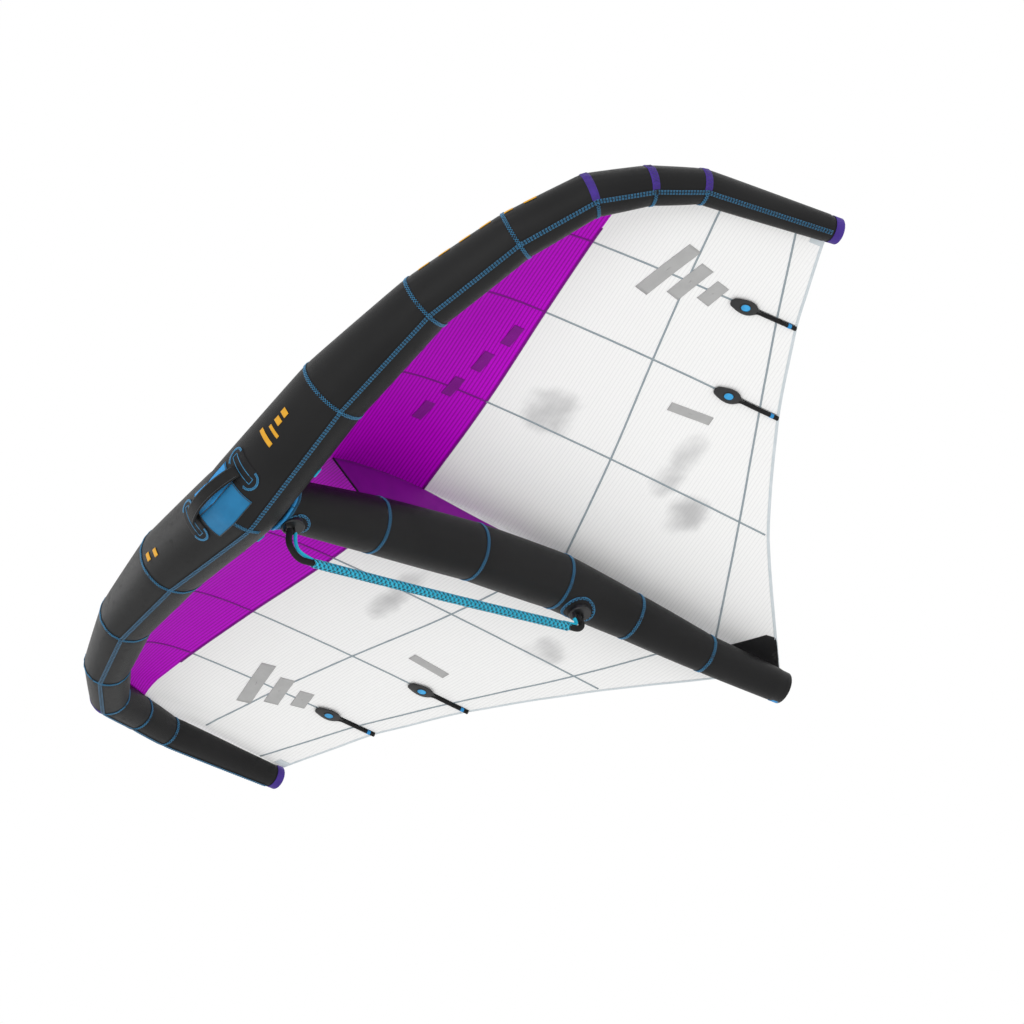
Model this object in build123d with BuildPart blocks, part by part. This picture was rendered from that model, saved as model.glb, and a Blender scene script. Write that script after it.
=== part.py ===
from build123d import *
import math
import os

# Inflatable hand-held wing, in millimetres.
# +X is the right-hand side, +Y points from nose to tail and +Z up, as the wing is flown.
# The origin is the middle of the strut handle's grip, where the hand holds the wing.
# Places are first given from the nose, the middle of the leading edge tube, then moved.
NOSE = Vector(0, -690, 93)

# Leading edge tube: x, y, z and radius at each ring seam, from the middle to the right tip.
LEADING_EDGE = [
    (0, 0, 0, 117),
    (412, 42, 100, 106),
    (770, 113, 174, 84),
    (1055, 225, 236, 70.5),
    (1240, 352, 290, 63),
    (1319, 503, 332, 55),
    (1375, 650, 351, 50),
    (1424, 1097, 348, 37),
]
# Strut tube, from the leading edge to the tail.
STRUT = [
    (0, 60, 28, 70),
    (0, 458, 86, 85),
    (0, 816, 124, 87),
    (0, 1134, 131, 86),
    (0, 1404, 97, 73),
    (0, 1684, 56, 59),
    (0, 1980, 22, 43.7),
]
CASING_WALL = 1.5
BLADDER_GAP = 1.2
BLADDER_WALL = 2.0
STRUT_CASING_FRONT = 88
STRUT_BLADDER_FRONT = 128

# Tapes and bands lie on the casing with this clearance.
LAY = 0.15
TAPE_THICKNESS = 1.2
TAPE_WIDTH = 12
BAND_WIDTH = 26
BAND_RINGS = (4, 5, 6)
SEAM_TAPE_WIDTH = 16
SEAM_TAPE_ANGLE = 22
CAP_DEPTH = 22
CAP_END = 5

# Canopy: the tail end of each rib, its camber, and how high up the tube its front edge sits.
TRAILING_EDGE = [
    (0, 1992, 93),
    (418, 1632, 185),
    (783, 1392, 271),
    (1070, 1238, 325),
    (1200, 1177, 338),
    (1290, 1136, 347),
    (1345, 1112, 353),
    (1380, 1098, 358),
]
CAMBER = [225, 143, 110, 77, 48, 24, 10, 1]
ATTACH_ELEVATION = [50, 50, 48, 45, 40, 32, 24, 15]
TIP_RIB_PLACE = 0.93
CAMBER_PEAK = 0.25
RIB_STEPS = (0, 0.04, 0.09, 0.16, 0.25, 0.36, 0.5, 0.66, 0.83, 1)
CLOTH = 1.5
ATTACH_GAP = 1.8
# The canopy's cross seams are straight in plan: y on the centre line, and its change with x.
COLOUR_SEAM = (668, -0.134)
REAR_SEAM = (1180, -0.31)
HEM_WIDTH = 16
TAIL_PATCH = [(0, 2050), (0, 1846), (96, 1868), (122, 1960)]
TIP_PATCH_CORNER = (1300, 1000)

# Upright profile panel between the canopy and the strut.
PROFILE_TOP_FRONT = 343
PROFILE_BOTTOM_FRONT = 452
PROFILE_COLOUR_SEAM = 668
PROFILE_REAR = 1965
PROFILE_GAP = 1.0
PROFILE_FOOT_GAP = 3.0

# Battens at the trailing edge, on the second and third ribs, with a pocket and an end cap.
BATTEN_RIBS = (2, 3)
BATTEN_LENGTH = 232
BATTEN_RADIUS = 2.4
BATTEN_BORE = 2.8
BATTEN_DROP = 6.5
BATTEN_CAP_LENGTH = 108
BATTEN_CAP_RADIUS = 25
BATTEN_CAP_NOSE = 7
POCKET = (14, 7)
POCKET_END = 8

# Strut handle: a stiff rope between two bosses under the strut.
BOSS_PLACES = (166, 1204)
BOSS_RADIUS = 34
BOSS_HEIGHT = 13
BOSS_FILLET = 5
BOSS_GAP = 2
PATCH_RADII = (43, 53)
ROPE_RADIUS = 11.5
SLEEVE_RADIUS = 9.5
KNUCKLE_RADIUS = 11
KNUCKLE_BORE = 3.3
PIN_RADIUS = 3
EAR_GAP = 2.0
EAR_THICKNESS = 4
EAR_RADIUS = 6
FRONT_SLEEVE = [(0, 152, -60), (0, 142, -108), (0, 170, -156.9), (0, 222, -150.5)]
ROPE = [(0, 222, -150.5), (0, 520, -118), (0, 850, -77.5), (0, 1146, -38.1)]
REAR_SLEEVE = [(0, 1196, 14), (0, 1206, -12), (0, 1188, -33), (0, 1146, -38.1)]

# Carry handle and wear panel on the front of the leading edge.
CARRY_HALF_SPAN = 119
CARRY_ANGLE = 64
CARRY_STAND_OFF = 7
CARRY_RISE = 39
CARRY_WIDTH = 40
CARRY_THICKNESS = 8
CARRY_PATCH = (140, 60)
WEAR_PANEL = (160, 160)
WEAR_PANEL_ANGLE = 61

# Inflation valve on the rear of the leading edge, left of the strut.
VALVE_X = -200
VALVE_TILT = 14
VALVE_BORE = 9
VALVE_NECK = 13
VALVE_FLANGE = 25
VALVE_DEPTH = 16
VALVE_STANDS_OUT = 7
VALVE_HINGE = 19
VALVE_FLANGE_LIFT = 1.4
VALVE_FLANGE_THICKNESS = 2
VALVE_FLOOR = 2
CAP_GAP = 0.4
CAP_THICKNESS = 3

COLLAR_WIDTH = 26
SEAM_TAPE_LIFT = 2 * LAY + 1.5 * TAPE_THICKNESS + 0.1

UP = Vector(0, 0, 1)
BIG = 4000


def at(x, y, z):
    return NOSE + Vector(x, y, z)


def between(a, b, share):
    return tuple(p + (q - p) * share for p, q in zip(a, b))


def station_planes(stations):
    """A plane across the tube at each station, with its x direction level."""
    centres = [at(*station[:3]) for station in stations]
    runs = [(b - a).normalized() for a, b in zip(centres, centres[1:])]
    tangents = [runs[0]] + [(a + b).normalized() for a, b in zip(runs, runs[1:])] + [runs[-1]]
    return [
        Plane(origin=centre, x_dir=UP.cross(tangent), z_dir=tangent)
        for centre, tangent in zip(centres, tangents)
    ]


def tube(stations, planes, extra):
    """A solid tube through the stations, its radius changed by extra."""
    with BuildPart(mode=Mode.PRIVATE) as solid:
        for station, plane in zip(stations, planes):
            with BuildSketch(plane):
                Circle(station[3] + extra)
        loft(ruled=True)
    return solid.part


def shell(stations, planes, outer, inner):
    return tube(stations, planes, outer) - tube(stations, planes, inner)


def save(builder, name):
    builder.part.label = name
    export_step(builder.part, f"parts/{name}.step")


def save_both_sides(builder, name):
    """Write a right-hand piece and its mirror image."""
    save(builder, f"{name}_right")
    with BuildPart() as left:
        mirror(builder.part, about=Plane.YZ)
    save(left, f"{name}_left")


def save_pair(builder, name):
    """Write a right-hand piece and its mirror image as one node."""
    with BuildPart() as pair:
        add(builder.part)
        mirror(builder.part, about=Plane.YZ)
    save(pair, name)


def ring_tape(stations, planes, index, width):
    """A tape around one ring seam, following the tube on both sides of it."""
    low = max(index - 1, 0)
    high = index + 2
    wrap = shell(stations[low:high], planes[low:high], LAY + TAPE_THICKNESS, LAY)
    with BuildPart(mode=Mode.PRIVATE) as slab:
        with BuildSketch(planes[index]):
            Circle(stations[index][3] * 1.6)
        extrude(amount=width / 2, both=True)
    return wrap & slab.part


def beside(angle):
    """Unit direction in the nose's section: 0 is down, 90 is forwards."""
    turn = math.radians(angle)
    return Vector(0, -math.sin(turn), -math.cos(turn))


def keep_behind(y):
    """Cut the part being built to what lies behind a cross plane."""
    split(bisect_by=Plane(origin=(0, y, 0), z_dir=(0, 1, 0)), keep=Keep.TOP)


def attach_point(station, plane, elevation):
    """Where the cloth leaves the tube: inboard or aft of it, at an elevation."""
    turn = math.radians(elevation)
    out = plane.x_dir * math.cos(turn) + plane.y_dir * math.sin(turn)
    return plane.origin + out * (station[3] + ATTACH_GAP)


def camber_share(share):
    """The height of the camber curve, from 0 at both ends to 1 at its peak."""
    if share < CAMBER_PEAK:
        return 1 - (1 - share / CAMBER_PEAK) ** 3
    return 1 - ((share - CAMBER_PEAK) / (1 - CAMBER_PEAK)) ** 1.3


def rib_point(front, rear, camber, share):
    return front + (rear - front) * share + UP * camber * camber_share(share)


def rib_plane(rib):
    """The upright plane that holds a rib, with its y direction up."""
    run = rib[-1] - rib[0]
    level = Vector(run.X, run.Y, 0).normalized()
    return Plane(origin=rib[0], x_dir=level, z_dir=level.cross(UP))


def seam_y(seam, x):
    return seam[0] + seam[1] * x


def prism(outline):
    """A tall block over an outline given in plan."""
    with BuildPart(mode=Mode.PRIVATE) as block:
        with BuildSketch(Plane.XY.offset(-BIG / 2)):
            with BuildLine():
                Polyline(*[(x, y + NOSE.Y) for x, y in outline], close=True)
            make_face()
        extrude(amount=BIG)
    return block.part


os.makedirs("parts", exist_ok=True)

left_half = [(-x, y, z, r) for x, y, z, r in reversed(LEADING_EDGE[1:])]
edge = left_half + LEADING_EDGE
middle = len(left_half)
edge_planes = station_planes(edge)
strut_planes = station_planes(STRUT)
nose_block = edge[middle - 1:middle + 2]
nose_planes = edge_planes[middle - 1:middle + 2]

# ---- leading edge ----
valve_station = between(edge[middle], edge[middle - 1], -VALVE_X / LEADING_EDGE[1][0])
valve_run = (at(*edge[middle - 1][:3]) - at(*edge[middle][:3])).normalized()
valve_level = valve_run.cross(UP).normalized()
valve_down = valve_run.cross(valve_level)
valve_tilt = math.radians(VALVE_TILT)
valve_axis = valve_level * math.cos(valve_tilt) + valve_down * math.sin(valve_tilt)
valve_seat = at(*valve_station[:3]) + valve_axis * valve_station[3]
valve_plane = Plane(origin=valve_seat, x_dir=valve_run, z_dir=valve_axis)

for index in range(len(edge) - 1):
    side = "right" if index >= middle else "left"
    number = index - middle + 1 if index >= middle else middle - index
    pair = edge[index:index + 2]
    planes = edge_planes[index:index + 2]
    with BuildPart() as casing:
        for station, plane in zip(pair, planes):
            with BuildSketch(plane):
                Circle(station[3])
        loft(ruled=True)
        for station, plane in zip(pair, planes):
            with BuildSketch(plane):
                Circle(station[3] - CASING_WALL)
        loft(ruled=True, mode=Mode.SUBTRACT)
        if side == "left" and number == 1:
            with BuildSketch(valve_plane.offset(-VALVE_DEPTH)):
                Circle(VALVE_NECK + 0.5)
            extrude(amount=3 * VALVE_DEPTH, mode=Mode.SUBTRACT)
    save(casing, f"le_casing_{side}_{number}")

with BuildPart() as le_bladder:
    bladder_out = CASING_WALL + BLADDER_GAP
    for station, plane in zip(edge, edge_planes):
        with BuildSketch(plane):
            Circle(station[3] - bladder_out)
    loft(ruled=True)
    for station, plane in zip(edge, edge_planes):
        with BuildSketch(plane):
            Circle(station[3] - bladder_out - BLADDER_WALL)
    loft(ruled=True, mode=Mode.SUBTRACT)
    with BuildSketch(valve_plane.offset(-VALVE_DEPTH - 1)):
        Circle(VALVE_NECK + 0.5)
    extrude(amount=3 * VALVE_DEPTH, mode=Mode.SUBTRACT)
save(le_bladder, "le_bladder")

banded = [middle + step * ring for ring in BAND_RINGS for step in (-1, 1)]
with BuildPart() as le_ring_tapes:
    for index in range(1, len(edge) - 1):
        if index not in banded and index != middle:
            add(ring_tape(edge, edge_planes, index, TAPE_WIDTH))
save(le_ring_tapes, "le_ring_tapes")

with BuildPart() as le_ring_bands:
    for index in banded:
        add(ring_tape(edge, edge_planes, index, BAND_WIDTH))
save(le_ring_bands, "le_ring_bands")

half_edge = edge[middle:]
half_planes = [Plane(origin=at(0, 0, 0), x_dir=(0, 1, 0), z_dir=(1, 0, 0))] + edge_planes[middle + 1:]
tape_turn = math.radians(SEAM_TAPE_ANGLE)
with BuildPart() as seam_tape:
    for station, plane in zip(half_edge, half_planes):
        out = plane.x_dir * math.sin(tape_turn) - plane.y_dir * math.cos(tape_turn)
        spot = plane.origin + out * (station[3] + SEAM_TAPE_LIFT)
        with BuildSketch(Plane(origin=spot, x_dir=out.cross(plane.z_dir), z_dir=plane.z_dir)):
            Rectangle(SEAM_TAPE_WIDTH, TAPE_THICKNESS)
    loft(ruled=True)
save_both_sides(seam_tape, "le_seam_tape")

tip_plane = edge_planes[-1]
tip_radius = edge[-1][3]
tip_wrap = shell(edge[-2:], edge_planes[-2:], LAY + TAPE_THICKNESS, LAY)
with BuildPart() as tip_cap:
    add(tip_wrap)
    with BuildSketch(tip_plane):
        Circle(tip_radius * 2)
    extrude(amount=-CAP_DEPTH, mode=Mode.INTERSECT)
    with BuildSketch(tip_plane):
        Circle(tip_radius + LAY + TAPE_THICKNESS)
    extrude(amount=CAP_END)
save_both_sides(tip_cap, "tip_cap")

# ---- strut ----
nose_tube = tube(nose_block, nose_planes, LAY)
nose_tube_clear = tube(nose_block, nose_planes, LAY * 2)
nose_tube_wide = tube(nose_block, nose_planes, COLLAR_WIDTH)
collar_wrap = shell(STRUT[:2], strut_planes[:2], LAY + TAPE_THICKNESS, LAY)
for number, (pair, planes) in enumerate(
    zip(zip(STRUT, STRUT[1:]), zip(strut_planes, strut_planes[1:])), start=1
):
    wall = shell(pair, planes, 0, -CASING_WALL)
    with BuildPart() as strut_casing:
        add(wall)
        if number == 1:
            add(nose_tube, mode=Mode.SUBTRACT)
            keep_behind(NOSE.Y + STRUT_CASING_FRONT)
    save(strut_casing, f"strut_casing_{number}")

with BuildPart() as strut_bladder:
    bladder_out = CASING_WALL + BLADDER_GAP
    add(shell(STRUT, strut_planes, -bladder_out, -bladder_out - BLADDER_WALL))
    keep_behind(NOSE.Y + STRUT_BLADDER_FRONT)
save(strut_bladder, "strut_bladder")

with BuildPart() as strut_ring_tapes:
    for index in range(1, len(STRUT) - 1):
        add(ring_tape(STRUT, strut_planes, index, TAPE_WIDTH))
save(strut_ring_tapes, "strut_ring_tapes")

with BuildPart() as strut_collar:
    add(collar_wrap)
    add(nose_tube_wide, mode=Mode.INTERSECT)
    add(nose_tube_clear, mode=Mode.SUBTRACT)
    keep_behind(NOSE.Y + STRUT_CASING_FRONT)
save(strut_collar, "strut_collar")

with BuildPart() as strut_end_ring:
    add(shell(STRUT[-2:], strut_planes[-2:], LAY + TAPE_THICKNESS, LAY))
    with BuildSketch(strut_planes[-1]):
        Circle(STRUT[-1][3] * 2)
    extrude(amount=-CAP_DEPTH, mode=Mode.INTERSECT)
save(strut_end_ring, "strut_end_ring")

with BuildPart() as strut_end_cap:
    with BuildSketch(strut_planes[-1]):
        Circle(STRUT[-1][3] + LAY + TAPE_THICKNESS)
    extrude(amount=CAP_END)
    fillet(strut_end_cap.faces().sort_by(Axis.Y)[-1].edges(), CAP_END / 2)
save(strut_end_cap, "strut_end_cap")

# ---- canopy ----
fronts = [
    attach_point(station, plane, elevation)
    for station, plane, elevation in zip(edge[middle:-1], edge_planes[middle:-1], ATTACH_ELEVATION)
]
tip_station = between(edge[-2], edge[-1], TIP_RIB_PLACE)
tip_rib_plane = Plane(
    origin=at(*tip_station[:3]), x_dir=edge_planes[-1].x_dir, z_dir=edge_planes[-1].z_dir
)
fronts.append(attach_point(tip_station, tip_rib_plane, ATTACH_ELEVATION[-1]))
ribs = [
    [rib_point(front, at(*rear), camber, share) for share in RIB_STEPS]
    for front, rear, camber in zip(fronts, TRAILING_EDGE, CAMBER)
]

with BuildPart() as half_canopy:
    for rib in ribs:
        with BuildSketch(rib_plane(rib)) as rib_section:
            with BuildLine():
                level = [rib_section.workplanes[0].to_local_coords(point) for point in rib]
                lower = Spline(*level)
                upper = Spline(*[point + (0, CLOTH) for point in level])
                Line(lower @ 0, upper @ 0)
                Line(lower @ 1, upper @ 1)
            make_face()
    loft(ruled=True)

hem_line = [(x, y - HEM_WIDTH * 1.15) for x, y, z in TRAILING_EDGE]
front_corners = [(-5, -BIG), (BIG, -BIG)]
front_of_colour = front_corners + [(x, seam_y(COLOUR_SEAM, x)) for x in (BIG, -5)]
front_of_rear = front_corners + [(x, seam_y(REAR_SEAM, x)) for x in (BIG, -5)]
front_of_hem = front_corners + [(BIG, hem_line[-1][1])] + hem_line[::-1] + [(-5, hem_line[0][1])]
tip_x, tip_y = TIP_PATCH_CORNER
tip_corner = [(tip_x, tip_y), (BIG, tip_y), (BIG, BIG), (tip_x, BIG)]
everything = [(-5, -BIG), (BIG, -BIG), (BIG, BIG), (-5, BIG)]
panels = {
    "canopy_front": ([front_of_colour], []),
    "canopy_middle": ([front_of_rear], [front_of_colour, tip_corner]),
    "canopy_rear": ([front_of_hem], [front_of_rear, front_of_colour, tip_corner, TAIL_PATCH]),
    "trailing_hem": ([everything], [front_of_hem, tip_corner, TAIL_PATCH]),
    "tail_patch": ([TAIL_PATCH], []),
    "tip_patch": ([tip_corner], [front_of_colour]),
}
for name, (kept, removed) in panels.items():
    keepers = [prism(outline) for outline in kept]
    cutters = [prism(outline) for outline in removed]
    with BuildPart() as right_panel:
        add(half_canopy.part)
        for keeper in keepers:
            add(keeper, mode=Mode.INTERSECT)
        for cutter in cutters:
            add(cutter, mode=Mode.SUBTRACT)
    if name in ("tail_patch", "tip_patch"):
        save_pair(right_panel, name)
    else:
        save_both_sides(right_panel, name)

# ---- profile panel ----
def strut_top(y):
    """Height of the strut's top line, clear of its tapes."""
    for fore, aft in zip(STRUT, STRUT[1:]):
        if fore[1] <= y <= aft[1]:
            share = (y - fore[1]) / (aft[1] - fore[1])
            return fore[2] + fore[3] + share * (aft[2] + aft[3] - fore[2] - fore[3])
    return STRUT[-1][2] + STRUT[-1][3]


def canopy_height(y):
    """Height of the cloth on the centre line."""
    front = fronts[0] - NOSE
    share = (y - front.Y) / (TRAILING_EDGE[0][1] - front.Y)
    rear = Vector(*TRAILING_EDGE[0])
    return rib_point(front, rear, CAMBER[0], share).Z


def profile_panel(name, top_front, bottom_front, rear):
    """An upright panel on the centre line, from the strut up to the cloth."""
    top_places = [top_front + (rear - top_front) * step / 8 for step in range(9)]
    bends = [station[1] for station in STRUT if bottom_front < station[1] < rear]
    foot_places = [bottom_front] + bends + [rear]
    tops = [(y + NOSE.Y, canopy_height(y) - PROFILE_GAP + NOSE.Z) for y in top_places]
    feet = [(y + NOSE.Y, strut_top(y) + PROFILE_FOOT_GAP + NOSE.Z) for y in foot_places]
    with BuildPart() as panel:
        with BuildSketch(Plane.YZ):
            with BuildLine():
                top = Spline(*tops)
                Polyline(top @ 0, *feet, top @ 1)
            make_face()
        extrude(amount=CLOTH / 2, both=True)
    save(panel, name)


profile_panel("profile_panel_front", PROFILE_TOP_FRONT, PROFILE_BOTTOM_FRONT, PROFILE_COLOUR_SEAM)
profile_panel("profile_panel_rear", PROFILE_COLOUR_SEAM, PROFILE_COLOUR_SEAM, PROFILE_REAR)

# ---- battens ----
batten_planes = []
for index in BATTEN_RIBS:
    rear = ribs[index][-1]
    front = fronts[index]
    share = 1 - BATTEN_LENGTH / (rear.Y - front.Y)
    start = rib_point(front, rear, CAMBER[index], share)
    run = (rear - start).normalized()
    across = ribs[index + 1][-1] - ribs[index - 1][-1]
    lift = across.cross(run).normalized()
    batten_planes.append(Plane(origin=start - lift * BATTEN_DROP, x_dir=run, z_dir=lift))

def along_batten(plane, start):
    """The plane across a batten, a distance from its front end."""
    return Plane(origin=plane.origin, x_dir=plane.y_dir, z_dir=plane.x_dir).offset(start)


with BuildPart() as battens_right:
    for plane in batten_planes:
        with BuildSketch(along_batten(plane, BATTEN_CAP_NOSE)):
            Circle(BATTEN_RADIUS)
        extrude(amount=BATTEN_LENGTH - 2 * POCKET_END)
save_pair(battens_right, "battens")

with BuildPart() as batten_caps_right:
    for plane in batten_planes:
        with BuildSketch(plane.offset(-POCKET[1] / 2)):
            with Locations((BATTEN_CAP_RADIUS, 0)):
                Circle(BATTEN_CAP_RADIUS)
            with Locations((BATTEN_CAP_LENGTH - BATTEN_CAP_NOSE, 0)):
                Circle(BATTEN_CAP_NOSE)
            make_hull()
        extrude(amount=POCKET[1])
        with BuildSketch(along_batten(plane, BATTEN_CAP_NOSE - 1)):
            Circle(BATTEN_BORE)
        extrude(amount=BATTEN_LENGTH, mode=Mode.SUBTRACT)
save_pair(batten_caps_right, "batten_caps")

with BuildPart() as batten_pockets_right:
    for plane in batten_planes:
        with BuildSketch(along_batten(plane, BATTEN_CAP_LENGTH)):
            Rectangle(*POCKET)
            Circle(BATTEN_BORE, mode=Mode.SUBTRACT)
        extrude(amount=BATTEN_LENGTH - BATTEN_CAP_LENGTH - POCKET_END)
save_pair(batten_pockets_right, "batten_pockets")

# ---- strut handle ----
def strut_underside(y):
    for fore, aft in zip(STRUT, STRUT[1:]):
        if fore[1] <= y <= aft[1]:
            share = (y - fore[1]) / (aft[1] - fore[1])
            return between(fore, aft, share)[2] - between(fore, aft, share)[3]


def cord_path(points):
    """Corner radii as large as the runs allow, and the corners moved to the origin's frame."""
    corners = [at(*point) for point in points]
    radii = []
    for before, corner, after in zip(corners, corners[1:], corners[2:]):
        turn = (corner - before).get_angle(after - corner)
        run = min((corner - before).length, (after - corner).length)
        radii.append(0.45 * run / math.tan(math.radians(turn / 2)))
    print("radii", [round(radius, 1) for radius in radii])
    return corners, radii


def swept(points, radius):
    """A round cord along a path of straight runs joined by arcs."""
    corners, radii = cord_path(points)
    with BuildPart(mode=Mode.PRIVATE) as cord:
        with BuildLine() as path:
            FilletPolyline(*corners, radius=radii)
        with BuildSketch(Plane(origin=path.line @ 0, z_dir=path.line % 0)):
            Circle(radius)
        sweep()
    return cord.part


swing_run = (at(*REAR_SLEEVE[0]) - at(*FRONT_SLEEVE[0])).normalized()
ear_offset = KNUCKLE_RADIUS + EAR_GAP


def handle_boss(place, knuckle):
    """A round boss under the strut, with two ears and a pin for the sleeve's knuckle."""
    low = strut_underside(place) - BOSS_HEIGHT
    ears = Plane(origin=at(*knuckle), x_dir=(-1, 0, 0), z_dir=swing_run)
    with BuildPart(mode=Mode.PRIVATE) as boss:
        with BuildSketch(Plane(origin=at(0, place, low))):
            Circle(BOSS_RADIUS)
        extrude(amount=BOSS_HEIGHT + BOSS_RADIUS)
        fillet(boss.edges().sort_by(Axis.Z)[0], BOSS_FILLET)
        for end in (-ear_offset - EAR_THICKNESS, ear_offset):
            with BuildSketch(ears.offset(end)):
                Circle(EAR_RADIUS)
                with Locations((0, KNUCKLE_RADIUS * 0.75)):
                    Rectangle(2 * EAR_RADIUS, KNUCKLE_RADIUS * 1.5)
            extrude(amount=EAR_THICKNESS)
        with BuildSketch(ears.offset(-ear_offset - EAR_THICKNESS)):
            Circle(PIN_RADIUS)
        extrude(amount=2 * (ear_offset + EAR_THICKNESS))
        add(tube(STRUT, strut_planes, BOSS_GAP), mode=Mode.SUBTRACT)
    return boss.part


def stitched_disc(place, radius):
    """A round patch that follows the strut's underside."""
    with BuildPart(mode=Mode.PRIVATE) as disc:
        with BuildSketch(Plane(origin=at(0, place, strut_underside(place) - BOSS_HEIGHT))):
            Circle(radius)
        extrude(amount=BOSS_HEIGHT + radius)
        add(shell(STRUT, strut_planes, LAY + TAPE_THICKNESS, LAY), mode=Mode.INTERSECT)
        add(tube(nose_block, nose_planes, COLLAR_WIDTH + 2 * LAY), mode=Mode.SUBTRACT)
    return disc.part


knuckles = (FRONT_SLEEVE[0], REAR_SLEEVE[0])
bosses = [handle_boss(place, knuckle) for place, knuckle in zip(BOSS_PLACES, knuckles)]
with BuildPart() as handle_bosses:
    add(bosses)
save(handle_bosses, "handle_bosses")

discs = [stitched_disc(place, radius) for place, radius in zip(BOSS_PLACES, PATCH_RADII)]
with BuildPart() as handle_patches:
    add(discs)
save(handle_patches, "handle_patches")

for name, points in (("handle_sleeve_front", FRONT_SLEEVE), ("handle_sleeve_rear", REAR_SLEEVE)):
    with BuildPart() as sleeve:
        add(swept(points, SLEEVE_RADIUS))
        with Locations(at(*points[0])):
            Sphere(KNUCKLE_RADIUS)
        with BuildSketch(Plane(origin=at(*points[0]), z_dir=swing_run).offset(-2 * KNUCKLE_RADIUS)):
            Circle(KNUCKLE_BORE)
        extrude(amount=4 * KNUCKLE_RADIUS, mode=Mode.SUBTRACT)
    save(sleeve, name)
with BuildPart() as handle_rope:
    add(swept(ROPE, ROPE_RADIUS))
save(handle_rope, "handle_rope")
print("rope volume", handle_rope.part.volume)

# ---- carry handle ----
carry_out = beside(CARRY_ANGLE)
carry_share = CARRY_HALF_SPAN / LEADING_EDGE[1][0]
carry_station = between(LEADING_EDGE[0], LEADING_EDGE[1], carry_share)
carry_centre = at(0, *carry_station[1:3])
end_height = carry_station[3] + CARRY_STAND_OFF
carry_plane = Plane(origin=carry_centre, x_dir=(1, 0, 0), z_dir=Vector(1, 0, 0).cross(carry_out))
with BuildPart() as carry_strap:
    with BuildSketch(carry_plane):
        with BuildLine():
            ends = [(-CARRY_HALF_SPAN, end_height), (CARRY_HALF_SPAN, end_height)]
            inner = ThreePointArc(ends[0], (0, end_height + CARRY_RISE), ends[1])
            outer = ThreePointArc(
                (ends[0][0] - CARRY_THICKNESS / 2, ends[0][1] + CARRY_THICKNESS / 2),
                (0, end_height + CARRY_RISE + CARRY_THICKNESS),
                (ends[1][0] + CARRY_THICKNESS / 2, ends[1][1] + CARRY_THICKNESS / 2),
            )
            Line(inner @ 0, outer @ 0)
            Line(inner @ 1, outer @ 1)
        make_face()
    extrude(amount=CARRY_WIDTH / 2, both=True)
save(carry_strap, "carry_strap")

nose_wrap = shell(nose_block, nose_planes, LAY + TAPE_THICKNESS, LAY)
ovals = []
for sign in (-1, 1):
    seat = Plane(
        origin=at(sign * CARRY_HALF_SPAN, *carry_station[1:3]), x_dir=(1, 0, 0), z_dir=carry_out
    )
    with BuildPart() as oval:
        with BuildSketch(seat):
            SlotOverall(*CARRY_PATCH, rotation=90)
        extrude(amount=2 * carry_station[3])
    ovals.append(nose_wrap & oval.part)
with BuildPart() as carry_patches:
    add(ovals)
save(carry_patches, "carry_patches")

with BuildPart() as wear_panel:
    with BuildSketch(Plane(origin=at(0, 0, 0), x_dir=(1, 0, 0), z_dir=beside(WEAR_PANEL_ANGLE))):
        Rectangle(*WEAR_PANEL)
    extrude(amount=2 * LEADING_EDGE[0][3])
    add(nose_wrap, mode=Mode.INTERSECT)
save(wear_panel, "wear_panel")

# ---- inflation valve ----
with BuildPart() as valve_body:
    with BuildSketch(valve_plane.offset(-VALVE_DEPTH)):
        Circle(VALVE_NECK)
    extrude(amount=VALVE_DEPTH + VALVE_STANDS_OUT)
    with BuildSketch(valve_plane.offset(VALVE_FLANGE_LIFT)):
        Circle(VALVE_FLANGE)
    extrude(amount=VALVE_FLANGE_THICKNESS)
    with BuildSketch(valve_plane.offset(VALVE_STANDS_OUT)):
        Circle(VALVE_BORE)
    extrude(amount=-VALVE_DEPTH - VALVE_STANDS_OUT + VALVE_FLOOR, mode=Mode.SUBTRACT)
save(valve_body, "valve_body")

with BuildPart() as valve_cap:
    cap_plane = valve_plane.offset(VALVE_STANDS_OUT + CAP_GAP)
    with BuildSketch(cap_plane):
        Circle(VALVE_NECK + 1)
        with Locations((VALVE_HINGE / 2, 0)):
            Rectangle(VALVE_HINGE, 8)
    extrude(amount=CAP_THICKNESS)
    hinge_spot = cap_plane.origin + valve_plane.x_dir * VALVE_HINGE
    with BuildSketch(Plane(origin=hinge_spot, z_dir=valve_plane.y_dir).offset(-4)):
        Circle(CAP_THICKNESS * 0.8)
    extrude(amount=8)
save(valve_cap, "valve_cap")

print("valve seat", valve_seat, "axis", valve_axis, "hinge", hinge_spot, valve_plane.y_dir)
print("swing axis", at(*FRONT_SLEEVE[0]), swing_run)
print("carry axis", carry_centre + carry_out * end_height)
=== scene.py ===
import math
from bisect import bisect_right

import bmesh
import bpy
import numpy as np
from mathutils import Matrix, Vector, noise
from mathutils.bvhtree import BVHTree
from mathutils.kdtree import KDTree


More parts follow.
